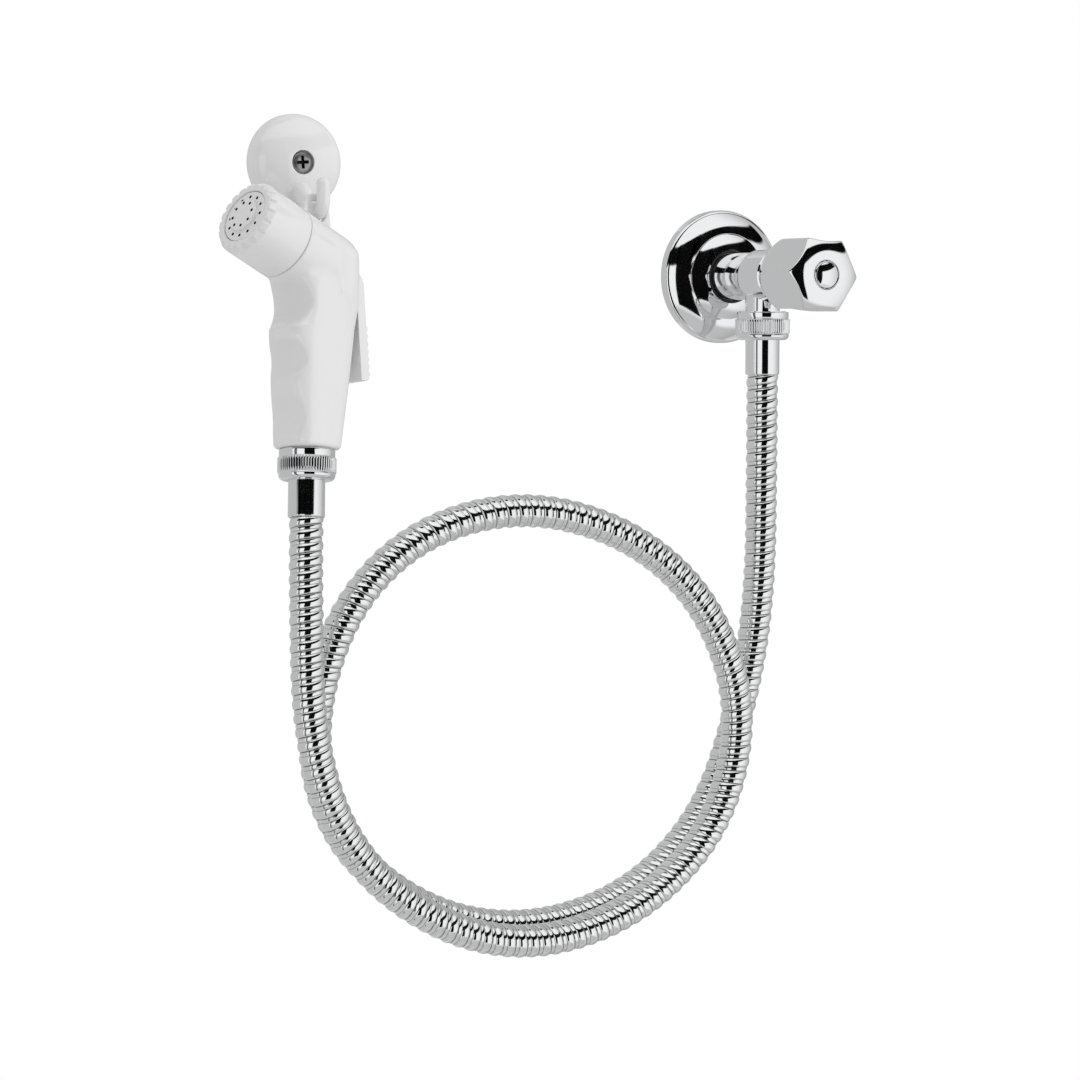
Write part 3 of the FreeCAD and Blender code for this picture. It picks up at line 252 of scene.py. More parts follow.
def paper_finish():
    """Matt paper that is plain white to the camera."""
    paper = bpy.data.materials.new("studio_paper")
    paper.use_nodes = True
    tree = paper.node_tree
    shader = tree.nodes["Principled BSDF"]
    shader.inputs["Base Color"].default_value = (PAPER_GREY, PAPER_GREY, PAPER_GREY, 1)
    shader.inputs["Roughness"].default_value = 0.9
    path = tree.nodes.new("ShaderNodeLightPath")
    white = tree.nodes.new("ShaderNodeEmission")
    white.inputs["Strength"].default_value = 1
    either = tree.nodes.new("ShaderNodeMixShader")
    tree.links.new(path.outputs["Is Camera Ray"], either.inputs[0])
    tree.links.new(shader.outputs[0], either.inputs[1])
    tree.links.new(white.outputs[0], either.inputs[2])
    tree.links.new(either.outputs[0], tree.nodes["Material Output"].inputs["Surface"])
    return paper


def as_object(name, mesh):
    """A mesh in the making as an object of the scene."""
    data = bpy.data.meshes.new(name)
    mesh.to_mesh(data)
    mesh.free()
    return placed(name, data)


def build_floor():
    """One square sheet."""
    sheet = bmesh.new()
    corners = []
    for x, y in ((-1, -1), (1, -1), (1, 1), (-1, 1)):
        corners.append(sheet.verts.new((x * FLOOR_HALF, y * FLOOR_HALF, FLOOR_HEIGHT)))
    sheet.faces.new(corners)
    floor = as_object("studio_floor", sheet)
    floor.data.materials.append(paper_finish())
    floor.visible_glossy = False
    print("floor at", FLOOR_HEIGHT, "m")


build_floor()

# %% [markdown]
# ## Finishes
# Each finish is one node material, written by one helper. A flat colour looks like
# paint on a screen, so every finish has up to three kinds of unevenness, all from
# noise in the object's own space: a ripple in the surface, a haze in the polish and
# a tint in the colour.

# %% Helper for finishes
RIPPLE_DETAIL = 2
HAZE_DETAIL = 6
TINT_DETAIL = 4
HAZE_FROM = 0.35
HAZE_TO = 0.7


def finish(name, colour, roughness, metallic=0.0, ripple=None, haze=None, tint=None, **sockets):
    """A Principled material. ripple, haze and tint are (noise scale, amount)."""
    material = bpy.data.materials.new(name)
    material.use_nodes = True
    tree = material.node_tree
    shader = tree.nodes["Principled BSDF"]
    shader.inputs["Base Color"].default_value = (*colour, 1)
    shader.inputs["Roughness"].default_value = roughness
    shader.inputs["Metallic"].default_value = metallic
    for socket, value in sockets.items():
        shader.inputs[socket.replace("_", " ")].default_value = value
    place = tree.nodes.new("ShaderNodeTexCoord").outputs["Object"]

    def noise(scale, detail):
        """One cloud of noise in the object's own space."""
        node = tree.nodes.new("ShaderNodeTexNoise")
        node.inputs["Scale"].default_value = scale
        node.inputs["Detail"].default_value = detail
        tree.links.new(place, node.inputs["Vector"])
        return node.outputs["Fac"]

    if ripple:
        bump = tree.nodes.new("ShaderNodeBump")
        bump.inputs["Distance"].default_value = ripple[1]
        tree.links.new(noise(ripple[0], RIPPLE_DETAIL), bump.inputs["Height"])
        tree.links.new(bump.outputs["Normal"], shader.inputs["Normal"])
    if haze:
        spread = tree.nodes.new("ShaderNodeMapRange")
        tree.links.new(noise(haze[0], HAZE_DETAIL), spread.inputs["Value"])
        spread.inputs["From Min"].default_value = HAZE_FROM
        spread.inputs["From Max"].default_value = HAZE_TO
        spread.inputs["To Min"].default_value = roughness
        spread.inputs["To Max"].default_value = roughness + haze[1]
        tree.links.new(spread.outputs["Result"], shader.inputs["Roughness"])
    if tint:
        blend = tree.nodes.new("ShaderNodeMix")
        blend.data_type = "RGBA"
        tree.links.new(noise(tint[0], TINT_DETAIL), blend.inputs["Factor"])
        blend.inputs["A"].default_value = (*colour, 1)
        blend.inputs["B"].default_value = (*(part * (1 - tint[1]) for part in colour), 1)
        tree.links.new(blend.outputs["Result"], shader.inputs["Base Color"])
    return material


# %% [markdown]
# ### Chrome
# Real chrome isn't a perfect mirror: the polishing wheel leaves a slow ripple, and
# wiping leaves a faint haze. On the hose the plating in the gaps between the strips
# gets no light, so a number stored on the mesh turns it dark there.

# %% Chrome
chrome = finish("polished_chrome", (0.86, 0.865, 0.875), 0.035, metallic=1.0,
                ripple=(60, 0.00004), haze=(140, 0.05), tint=(40, 0.04))
hose_chrome = finish("hose_chrome", (0.88, 0.885, 0.89), 0.06, metallic=1.0,
                     haze=(300, 0.06), tint=(90, 0.06))


def paint_crevice_shade(material):
    """Paints shade into the plating where the mesh attribute says, near black in the gaps between
    strips, which get no light.
    """
    tree = material.node_tree
    shader = tree.nodes["Principled BSDF"]
    plating = shader.inputs["Base Color"].links[0].from_socket
    crevice_shade = tree.nodes.new("ShaderNodeAttribute")
    crevice_shade.attribute_name = "crevice_shade"
    blend = tree.nodes.new("ShaderNodeMix")
    blend.data_type = "RGBA"
    tree.links.new(crevice_shade.outputs["Fac"], blend.inputs["Factor"])
    tree.links.new(plating, blend.inputs["A"])
    # Painted shade: the near black colour that the gaps between strips get.
    blend.inputs["B"].default_value = (0.01, 0.01, 0.01, 1)
    tree.links.new(blend.outputs["Result"], shader.inputs["Base Color"])


paint_crevice_shade(hose_chrome)
print("chrome for the tap:", len(chrome.node_tree.nodes), "nodes")

# %% [markdown]
# ### Plastic, rubber, brass and steel
# The handset is glossy white plastic with a barely visible moulding ripple. Rubber
# is black and dull, turned brass and zinc plated steel are rough metals, and the
# valve's inner sleeve is a cream engineering plastic.

# %% Plastic, rubber, brass and steel
white_plastic = finish("white_moulded_plastic", (0.78, 0.78, 0.78), 0.07,
                       ripple=(260, 0.000012), haze=(60, 0.05), tint=(25, 0.02),
                       Specular_IOR_Level=0.75)
# Painted shade: near black for the walls of the spray holes and the screw's cross recess, which no
# light reaches.
painted_hole_shade = finish("unlit_hole", (0.012, 0.012, 0.012), 0.7, haze=(200, 0.2), tint=(90, 0.3))
black_rubber = finish("black_rubber", (0.015, 0.015, 0.015), 0.55,
                      haze=(200, 0.2), tint=(90, 0.3))
brass = finish("turned_brass", (0.72, 0.5, 0.2), 0.22, metallic=1.0,
               haze=(300, 0.12), tint=(120, 0.1))
steel = finish("zinc_plated_steel", (0.42, 0.42, 0.43), 0.3, metallic=1.0,
               haze=(400, 0.15), tint=(200, 0.2))
cream_plastic = finish("cream_plastic", (0.6, 0.58, 0.52), 0.45,
                       haze=(200, 0.1), tint=(60, 0.08))
print("finishes made:", [made.name for made in (white_plastic, black_rubber, brass, steel)])

# %% [markdown]
# ### Dressing the frame
# The solid model's own pieces keep their meshes and only get a finish. The list runs
# from finish to pieces, so that no piece is forgotten.

# %% Dress the frame
FINISHES = {
    chrome: ["valve_body", "wall_flange", "tap_handle", "handle_button", "tap_end_nut",
             "tap_end_ferrule", "handset_end_nut", "handset_end_ferrule"],
    hose_chrome: ["hose"],
    white_plastic: ["holder_body", "handset_body", "nozzle_collar", "spray_face",
                    "trigger_lever"],
    black_rubber: ["flange_ring", "spindle_o_ring", "cartridge_o_ring", "stem_o_ring",
                   "valve_washer", "plunger_seal", "spray_gasket", "tap_end_washer",
                   "handset_end_washer"],
    brass: ["headwork", "spindle", "jumper", "tap_end_nipple", "handset_end_nipple"],
    steel: ["washer_screw", "handle_screw", "holder_screw", "lever_pin", "plunger_spring"],
    cream_plastic: ["valve_cartridge", "plunger"],
}


def dress(node, material):
    """Gives a piece of the frame its only material."""
    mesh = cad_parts[node].data
    mesh.materials.clear()
    mesh.materials.append(material)


for material, nodes in FINISHES.items():
    for node in nodes:
        dress(node, material)
print("finishes on", sum(len(nodes) for nodes in FINISHES.values()), "nodes")

# %% [markdown]
# ## Turned pieces
# The nuts and the tap handle start as a lathe would make them: an outline swept round
# an axis. The Screw modifier could do it too. A sweep of our own lets the radius
# change with the angle, which cuts the knurl and the six flats in the same pass.
# First come the small helpers for such outlines: two rounded limits, and an arc.

# %% Helpers for outlines
MM = 0.001
OUT_OF_WALL = Matrix.Rotation(math.radians(90), 4, "X")


def soft_min(first, second, soft):
    """The smaller of two numbers, rounded off where they meet."""
    return (first + second - math.sqrt((first - second) ** 2 + soft ** 2)) / 2


def soft_max(first, second, soft):
    """The larger of two numbers, rounded off where they meet."""
    return -soft_min(-first, -second, soft)


def arc(start, through, end, count):
    """Points on the circle through three places, from the start up to the end."""
    (ax, ay), (bx, by), (cx, cy) = start, through, end
    scale = 2 * (ax * (by - cy) + bx * (cy - ay) + cx * (ay - by))
    a_square, b_square, c_square = ax * ax + ay * ay, bx * bx + by * by, cx * cx + cy * cy
    x = (a_square * (by - cy) + b_square * (cy - ay) + c_square * (ay - by)) / scale
    y = (a_square * (cx - bx) + b_square * (ax - cx) + c_square * (bx - ax)) / scale
    radius = math.hypot(ax - x, ay - y)
    first = math.atan2(ay - y, ax - x)
    middle = (math.atan2(by - y, bx - x) - first) % (2 * math.pi)
    sweep = (math.atan2(cy - y, cx - x) - first) % (2 * math.pi)
    if middle > sweep:
        sweep -= 2 * math.pi
    angles = [first + sweep * step / count for step in range(count)]
    return [(x + radius * math.cos(angle), y + radius * math.sin(angle)) for angle in angles]


print("a third of a quarter circle ends at", arc((1, 0), (0.7071, 0.7071), (0, 1), 3)[1])

# %% [markdown]
# ### The lathe
# Each point of the outline becomes a ring of points, and faces join each ring to the
# next. The finished mesh then becomes a piece, which says what it replaces in the
# frame and which body it moves with.

# %% Lathe


def join_rings(mesh, rings):
    """Faces between each ring of points and the one after it."""
    for ring, following in zip(rings, rings[1:]):
        for step in range(len(ring)):
            onward = (step + 1) % len(ring)
            mesh.faces.new((ring[step], ring[onward], following[onward], following[step]))


def turn(outline, steps, place, shape=None):
    """Sweeps a closed outline of (radius, height) in millimetres round the Z axis."""
    mesh = bmesh.new()
    rings = []
    for radius, height in outline:
        ring = []
        for step in range(steps):
            angle = 2 * math.pi * step / steps
            reach = shape(radius, height, angle) if shape else radius
            x = reach * math.cos(angle) * MM
            y = reach * math.sin(angle) * MM
            ring.append(mesh.verts.new((x, y, height * MM)))
        rings.append(ring)
    join_rings(mesh, rings + rings[:1])
    bmesh.ops.remove_doubles(mesh, verts=mesh.verts, dist=0.000001)
    mesh.transform(place)
    return mesh


def piece_from(mesh, name, materials, slot, body, *nodes):
    """Turns a mesh in the making into a piece that rides on a body and replaces nodes."""
    bmesh.ops.recalc_face_normals(mesh, faces=mesh.faces)
    piece = as_object(name, mesh)
    piece.data.shade_smooth()
    for material in materials:
        piece.data.materials.append(material)
    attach(piece, body)
    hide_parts(*nodes)
    print(name, "has", len(piece.data.polygons), "faces")
    return piece


# %% [markdown]
# ### The tap handle
# A zinc casting with six flats. Each flat is ground slightly hollow, which is why the
# corners stand out as ridges and the front edge runs in scallops. A hexagonal prism
# with bevels would miss those scallops, so the turned blank is held within six
# hollow flats instead. The front is domed, and a button sits in its middle.

# %% Tap handle
HANDLE_BACK = 58.6
HANDLE_FRONT = 92.4
HANDLE_CROWN = 3.6
HANDLE_BLANK = 18.6
HANDLE_FLATS = 31.5
HANDLE_CORNER = 18.05
HANDLE_CORNER_SOFT = 0.35
HANDLE_EDGE_SOFT = 0.55
HANDLE_TURN = 4.0
FLAT_HOLLOW = 0.95
BUTTON_SEAT = 6.35
INSIDE_RADIUS = 10


def handle_shape(radius, height, angle):
    """Holds the turned blank within six hollow flats, and leaves its inside round."""
    if radius <= INSIDE_RADIUS:
        return radius
    local = (math.degrees(angle) + HANDLE_TURN) % 60 - 30
    flat = HANDLE_FLATS / 2 / math.cos(math.radians(local))
    flat -= FLAT_HOLLOW * (1 - (local / 30) ** 2)
    flat = soft_min(flat, HANDLE_CORNER, HANDLE_CORNER_SOFT)
    return soft_min(radius, flat, HANDLE_EDGE_SOFT)


def build_handle():
    """The outline runs from the back, over the skirt and the crown, into the bore."""
    back, front, seat = HANDLE_BACK, HANDLE_FRONT, BUTTON_SEAT
    edge = front - HANDLE_CROWN
    skirt = back + 13
    outline = [(7.6, back), (12.6, back)]
    outline += arc((13.2, back), (14.0, back + 0.3), (14.3, back + 1.0), 4)
    outline += arc((14.3, back + 1.0), (16.5, back + 5.0), (HANDLE_BLANK, skirt), 16)
    outline += [(HANDLE_BLANK, skirt + step * (edge - back - 13) / 6) for step in range(6)]
    outline += arc((HANDLE_BLANK, edge), (14.0, front - 0.95), (seat + 0.3, front), 30)
    outline += [(seat + 0.3, front), (seat + 0.08, front - 0.06)]
    outline += [(seat, front - 0.3), (seat, front - 1.6)]
    outline += [(5.2, front - 1.6), (5.2, 86.0), (2.2, 86.0), (2.2, 84.1), (4.05, 84.1)]
    outline += [(4.05, 70.0), (7.6, 70.0)]
    mesh = turn(outline, 360, OUT_OF_WALL, handle_shape)
    piece_from(mesh, "hollow_ground_handle", [chrome], "handle_chrome", "tap_spindle",
               "tap_handle")


build_handle()

# %% [markdown]
# ### Where the handset hangs
# The handset leans, and it hangs by its eye on the hook. Its pieces are easier to
# describe in its own frame, with the grip's foot at the origin and Z up the grip.
# The place and the three angles are those of the solid model.

# %% Handset's frame
HANDSET_FOOT = Vector((-0.22717293, -0.04609889, -0.07376761))
HANDSET_ANGLES = (199.7, -8.0, 7.0)


def handset_place():
    """The handset's own frame: its foot at the origin and Z up the grip."""
    turned, pitched, rolled = (math.radians(angle) for angle in HANDSET_ANGLES)
    return (Matrix.Translation(HANDSET_FOOT) @ Matrix.Rotation(turned, 4, "Z")
            @ Matrix.Rotation(pitched, 4, "Y") @ Matrix.Rotation(rolled, 4, "X"))


HANDSET = handset_place()
print("the grip points along", [round(part, 3) for part in HANDSET.col[2][:3]])

# %% [markdown]
# ### The hose nuts
# Turned brass nuts with a plain collar above, a knurl to grip and a rolled bead below.
# A bump texture could fake the knurl, but its outline would stay smooth. Here the
# knurl is made of rounded ridges, so it breaks the reflections into fine lines.

# %% Hose nuts
TAP_OUTLET = Matrix.Translation((0, -0.0394, -0.0159))
NUT_TOP = -0.3
NUT_FOOT = NUT_TOP - 12.8
KNURL_TOP = NUT_TOP - 3.2
KNURL_FOOT = NUT_FOOT + 2.9
KNURL_RADIUS = 12.35
KNURL_RIDGES = 64
KNURL_DEPTH = 0.34


def knurl(radius, height, angle):
    """Cuts rounded ridges where the nut is at its widest."""
    if radius < KNURL_RADIUS - 0.02:
        return radius
    return radius - KNURL_DEPTH * (1 - abs(math.sin(angle * KNURL_RIDGES / 2)))


def build_nut(name, place, node):
    """The outline runs down the outside and back up the bore."""
    top, foot = NUT_TOP, NUT_FOOT
    reach = KNURL_TOP - 0.7 - KNURL_FOOT
    outline = [(10.45, top), (11.2, top)]
    outline += arc((11.3, top), (11.68, top - 0.12), (11.8, top - 0.5), 5)
    outline += [(11.8, top - 0.5), (11.8, KNURL_TOP + 0.25), (11.62, KNURL_TOP + 0.05)]
    outline += [(11.66, KNURL_TOP - 0.1), (12.2, KNURL_TOP - 0.18)]
    outline += [(KNURL_RADIUS, KNURL_TOP - 0.35 - step * reach / 4) for step in range(5)]
    outline += [(12.2, KNURL_FOOT + 0.12), (11.8, KNURL_FOOT), (11.75, KNURL_FOOT - 0.15)]
    outline += arc((11.95, KNURL_FOOT - 0.4), (11.3, foot + 0.65), (9.8, foot), 12)
    outline += [(9.8, foot), (8.0, foot), (8.0, foot + 1.35), (10.45, foot + 1.35)]
    mesh = turn(outline, KNURL_RIDGES * 8, place, knurl)
    piece_from(mesh, name, [chrome], "nut_chrome", "fixed", node)


build_nut("knurled_tap_nut", TAP_OUTLET, "tap_end_nut")
build_nut("knurled_handset_nut", HANDSET, "handset_end_nut")

# %% [markdown]
# ## The handset
# One moulding: an oval grip with a soft corner down each side, three finger hollows,
# a round head and a flat hanging eye. Sculpting it would be hard to repeat, so each
# part is a closed mesh worked out from a few sizes, and a fine remesh joins them.
# The grip comes first. Its cross sections are ovals drawn towards a rectangle.

# %% Grip sections
# Height, front depth, back depth and half width
GRIP_SECTIONS = [
    (0.0, 13.8, 13.7, 13.2),
    (28.0, 16.1, 18.2, 14.1),
    (50.0, 17.7, 21.4, 14.5),
    (66.0, 17.3, 23.3, 14.8),
    (86.0, 14.6, 22.6, 15.1),
]
GRIP_TOP = 86


def grip_section(height):
    """Front depth, back depth and half width, on a smooth line through the sections."""
    spans = list(zip(GRIP_SECTIONS, GRIP_SECTIONS[1:]))
    index = next((i for i, span in enumerate(spans) if height <= span[1][0]), len(spans) - 1)
    (low, *below), (high, *above) = spans[index]
    before = GRIP_SECTIONS[max(index - 1, 0)]
    after = GRIP_SECTIONS[min(index + 2, len(GRIP_SECTIONS) - 1)]
    mix = (height - low) / (high - low)
    section = []
    for k in range(3):
        start, end = below[k], above[k]
        leave = (end - before[k + 1]) / (high - before[0]) * (high - low)
        arrive = (after[k + 1] - start) / (after[0] - low) * (high - low)
        section.append(start * (1 + 2 * mix) * (1 - mix) ** 2 + leave * mix * (1 - mix) ** 2
                       + end * mix ** 2 * (3 - 2 * mix) + arrive * mix ** 2 * (mix - 1))
    return section


print("halfway up the grip:", [round(part, 2) for part in grip_section(40)])

# %% [markdown]
# ### Finger hollows
# Each hollow is a piece of a cylinder that lies across the front of the grip. Cutting
# them out would leave hard edges. A rounded limit on how far forward the grip may
# reach gives the same hollows with the soft edges of a moulding.

# %% Finger hollows
# Height, deepest point from the axis and radius of each hollow
FINGER_HOLLOWS = [(12.6, 10.9, 14.2), (36.3, 11.2, 9.6), (60.5, 9.3, 11.0)]
HOLLOW_SOFT = 0.8
NO_LIMIT = 40.0


def hollow_limit(height):
    """How far forward the grip may reach at a height, for the fingers' sake."""
    limit = NO_LIMIT
    for centre, deepest, radius in FINGER_HOLLOWS:
        off = min(abs(height - centre), radius)
        depth = deepest + radius - math.sqrt(radius ** 2 - off ** 2)
        limit = soft_min(limit, depth, HOLLOW_SOFT)
    return limit


print("deepest hollow reaches", round(hollow_limit(60.5), 2), "mm from the axis")

# %% [markdown]
# ### The grip
# A squarer oval fills its box more than a round one, so it is drawn in a little to
# keep the grip's width. Near the neck it widens again, so that the grip's sides run
# into the head without a dent.

# %% Grip
GRIP_STEPS = 120
GRIP_SQUARENESS = 3.1
GRIP_SHRINK = 0.92
NECK_SHRINK = 0.95
NECK_FOOT = 48
NECK_RISE = 16
GRIP_CORNER = 1.6


def grip_shrink(height):
    """Climbs gently from the grip's own share to the neck's."""
    widen = min(max(height - NECK_FOOT, 0) / NECK_RISE, 1)
    return GRIP_SHRINK + (NECK_SHRINK - GRIP_SHRINK) * widen ** 2 * (3 - 2 * widen)


def close_ends(mesh, rings):
    """A face over the first ring and one over the last."""
    mesh.faces.new(rings[0])
    mesh.faces.new(rings[-1])


def grip_mesh(mesh):
    """Stacks the grip's sections from the foot to the neck."""
    power = 2 / GRIP_SQUARENESS
    rings = []
    for height in [0, 0.2, 0.5, 0.9, 1.4] + list(range(2, GRIP_TOP + 1)):
        shrink = grip_shrink(height)
        front, back, half = (part * shrink for part in grip_section(height))
        pull = max(GRIP_CORNER - height, 0)
        inset = GRIP_CORNER - math.sqrt(GRIP_CORNER ** 2 - pull ** 2)
        limit = hollow_limit(height)
        ring = []
        for step in range(GRIP_STEPS):
            angle = 2 * math.pi * step / GRIP_STEPS
            across, side = math.cos(angle), math.sin(angle)
            x = (front + back) / 2 - inset
            x = x * math.copysign(abs(across) ** power, across) + (front - back) / 2
            y = (half - inset) * math.copysign(abs(side) ** power, side)
            ring.append(mesh.verts.new((soft_min(x, limit, HOLLOW_SOFT), y, height)))
        rings.append(ring)
    join_rings(mesh, rings)
    close_ends(mesh, rings)


print("the grip is drawn in to", round(grip_shrink(0), 2), "and its neck to",
      round(grip_shrink(GRIP_TOP), 2))

# %% [markdown]
# ### The head
# A round barrel that rises to the front. It would stick out behind the grip as a
# cylinder, so an upright oval holds it back there, again as a rounded limit.

# %% Head
HEAD_HEIGHT = 80.8
HEAD_RISE = 18.9
HEAD_RADIUS = 16.2
HEAD_BACK = 23.0
HEAD_OVERLAP = 34
HEAD_STEPS = 120
HEAD_SLICES = 60
NOZZLE_REACH = 38.9
COLLAR_LENGTH = 23.6
OVAL_CENTRE = 12
OVAL_EXTRA = 1.3
OVAL_SOFT = 2.6


def nozzle_place():
    """The nozzle's own frame: Z along its axis, from the face of the spray disc."""
    rise = math.radians(HEAD_RISE)
    across = NOZZLE_REACH * math.cos(rise)
    spot = Vector((across, 0, HEAD_HEIGHT + NOZZLE_REACH * math.sin(rise)))
    return Matrix.Translation(spot * MM) @ Matrix.Rotation(math.radians(90 - HEAD_RISE), 4, "Y")


NOZZLE = nozzle_place()


def barrel_mesh(mesh):
    """The round head, held back by an upright oval where it passes the grip."""
    rings = []
    length = NOZZLE_REACH + HEAD_OVERLAP - COLLAR_LENGTH
    for index in range(HEAD_SLICES + 1):
        height = -COLLAR_LENGTH - length * index / HEAD_SLICES
        ring = []
        for step in range(HEAD_STEPS):
            angle = 2 * math.pi * step / HEAD_STEPS
            spot = Vector((HEAD_RADIUS * math.cos(angle), HEAD_RADIUS * math.sin(angle), height))
            spot = NOZZLE @ (spot * MM)
            spot = spot / MM
            share = min(abs(spot.y) / (HEAD_RADIUS + OVAL_EXTRA), 0.999)
            back = OVAL_CENTRE - (HEAD_BACK + OVAL_CENTRE) * math.sqrt(1 - share ** 2)
            ring.append(mesh.verts.new((soft_max(spot.x, back, OVAL_SOFT), spot.y, spot.z)))
        rings.append(ring)
    join_rings(mesh, rings)
    close_ends(mesh, rings)


print("nozzle at", [round(part, 4) for part in (HANDSET @ NOZZLE).translation])

# %% [markdown]
# ### The hanging eye
# A flat plate that ends in an arch, with a rounded slot for the hook. A boolean could
# cut the slot. Walking outwards from the slot's middle in every direction, first to
# its edge and then to the plate's, gives an even ring of faces with soft edges.

# %% Hanging eye
EYE_STEPS = 72
EYE_STRIDE = 0.05
EYE_THICK = 1.6
EYE_EDGE = 0.3
EYE_CENTRE = -2.6
EYE_TOP = 109.5
EYE_HALF = 7.4
EYE_SPREAD = 3
EYE_FALL = 17.3
EYE_ROOT = 4
EYE_LIMIT = 30
SLOT_X = -3.0
SLOT_Z = 101.85
SLOT_ACROSS = 5.3
SLOT_UP = 4.45
SLOT_CORNER = 4.4


def slot_reach(away):
    """How far the slot reaches from its middle in a direction."""
    reach = 0.0
    while True:
        x, z = away * (reach + EYE_STRIDE)
        over_x = max(abs(x) - (SLOT_ACROSS - SLOT_CORNER), 0)
        over_z = max(abs(z) - (SLOT_UP - SLOT_CORNER), 0)
        if math.hypot(over_x, over_z) > SLOT_CORNER:
            return reach
        reach += EYE_STRIDE


def plate_reach(away, reach):
    """How far the plate reaches from the slot's middle in a direction."""
    bend = EYE_TOP - EYE_HALF
    while reach < EYE_LIMIT:
        x = SLOT_X + away.x * (reach + EYE_STRIDE)
        z = SLOT_Z + away.y * (reach + EYE_STRIDE)
        past_arch = z > bend and math.hypot(x - EYE_CENTRE, z - bend) > EYE_HALF
        half = EYE_HALF + EYE_SPREAD * max(bend - z, 0) / EYE_FALL
        if past_arch or abs(x - EYE_CENTRE) > half or z < HEAD_HEIGHT + EYE_ROOT:
            break
        reach += EYE_STRIDE
    return reach


def eye_mesh(mesh):
    """The flat ring that hangs on the hook: an arch with a rounded slot."""
    rows = []
    thick, edge = EYE_THICK, EYE_EDGE
    for step in range(EYE_STEPS):
        angle = 2 * math.pi * (step + 0.5) / EYE_STEPS
        away = Vector((math.cos(angle), math.sin(angle)))
        hole = slot_reach(away)
        rim = plate_reach(away, hole)
        front = [(hole, thick - edge), (hole + edge, thick), (rim - edge, thick), (rim, thick - edge)]
        outline = front + [(reach, -level) for reach, level in reversed(front)]
        row = []
        for reach, level in outline:
            row.append(mesh.verts.new((SLOT_X + away.x * reach, level, SLOT_Z + away.y * reach)))
        rows.append(row)
    join_rings(mesh, rows + rows[:1])


print("the slot is", round(2 * slot_reach(Vector((1, 0))), 1), "mm across")

# %% [markdown]
# ### Outside and inside
# The outside is the grip, the head and the eye, with the spigots for the collar and
# for the hose. The inside is the lever's channel, the valve's bore and the room
# behind the spray disc. Both start as closed meshes in the handset's frame.

# %% Outside and inside
# Front, low end and high end of each hollow for the lever
LEVER_HOLLOWS = [(-18.2, 27.0, 64.5), (-12.1, 64.0, 79.7)]
LEVER_ROOM = 17.8
HOLLOW_DEPTH = 30
VALVE_HEIGHT = 56.5
# Radius, low end and high end of each spigot and bore
COLLAR_SPIGOT = (12.5, -30, -4.2)
HOSE_SPIGOT = (10.4, -8.4, 6)
VALVE_BORE = (5.45, -22, 6)
DISC_ROOM = (10.5, -9.2, 2)


def plug_mesh(mesh, place, radius, low, high):
    """A plain closed cylinder between two heights of a frame."""
    made = bmesh.ops.create_cone(mesh, cap_ends=True, segments=96, radius1=radius,
                                 radius2=radius, depth=high - low)
    spot = Matrix(place)
    spot.translation = spot.translation / MM
    shift = Matrix.Translation((0, 0, (low + high) / 2))
    bmesh.ops.transform(mesh, matrix=spot @ shift, verts=made["verts"])


def handset_outside(mesh):
    """Everything that the moulding adds."""
    grip_mesh(mesh)
    barrel_mesh(mesh)
    eye_mesh(mesh)
    plug_mesh(mesh, NOZZLE, *COLLAR_SPIGOT)
    plug_mesh(mesh, Matrix.Identity(4), *HOSE_SPIGOT)


def handset_hollows(mesh):
    """Everything that the moulding leaves out."""
    for front, low, high in LEVER_HOLLOWS:
        made = bmesh.ops.create_cube(mesh, size=1)
        spot = Matrix.Translation((front - HOLLOW_DEPTH / 2, 0, (low + high) / 2))
        spot = spot @ Matrix.Diagonal((HOLLOW_DEPTH, LEVER_ROOM, high - low, 1))
        bmesh.ops.transform(mesh, matrix=spot, verts=made["verts"])
    valve = Matrix.Translation((0, 0, VALVE_HEIGHT * MM))
    valve = valve @ Matrix.Rotation(math.radians(90), 4, "Y")
    plug_mesh(mesh, valve, *VALVE_BORE)
    plug_mesh(mesh, NOZZLE, *DISC_ROOM)


print("the lever's room is", LEVER_ROOM, "mm wide")

# %% [markdown]
# ### Helpers for solids
# A modifier's result has to be read back as a mesh before it can be worked on. These
# helpers do that, remove the tools that are used up, and cut one solid from another.

# %% Helpers for solids


def held_mesh(name, mesh, material):
    """A mesh in the making as a plain object with one material."""
    bmesh.ops.recalc_face_normals(mesh, faces=mesh.faces)
    solid = as_object(name, mesh)
    solid.data.materials.append(material)
    return solid


def applied(solid):
    """The mesh that an object's modifiers give."""
    view = bpy.context.evaluated_depsgraph_get()
    return bpy.data.meshes.new_from_object(solid.evaluated_get(view))


def cut_with(solid, tool, material_mode="TRANSFER"):
    """Cuts one object from another, and uses both up."""
    cut = solid.modifiers.new("cut", "BOOLEAN")
    cut.operation = "DIFFERENCE"
    cut.object = tool
    cut.solver = "EXACT"
    cut.material_mode = material_mode
    data = applied(solid)
    for used in (solid, tool):
        left = used.data
        bpy.data.objects.remove(used)
        bpy.data.meshes.remove(left)
    mesh = bmesh.new()
    mesh.from_mesh(data)
    bpy.data.meshes.remove(data)
    return mesh


# %% [markdown]
# ### Joining the moulding
# A voxel remesh melts the overlapping meshes into one skin, and a light smoothing
# rounds the lines where they meet, as a mould's radii do. The neck is smoothed far
# more, so that the grip flows into the head. The hollows are cut last, to stay crisp.

# %% Handset moulding
MOULD_GRAIN = 0.0005
MOULD_SMOOTHING = 7
NECK_PASSES = 60
NECK_LOW = 50
NECK_HIGH = 97
SEAM_MARGIN = 2.5


def in_neck(spot):
    """True where the grip flows into the head, away from the nozzle's seam."""
    along = (NOZZLE.inverted() @ (spot * MM)).z / MM
    return NECK_LOW < spot.z < NECK_HIGH and along < -COLLAR_LENGTH - SEAM_MARGIN


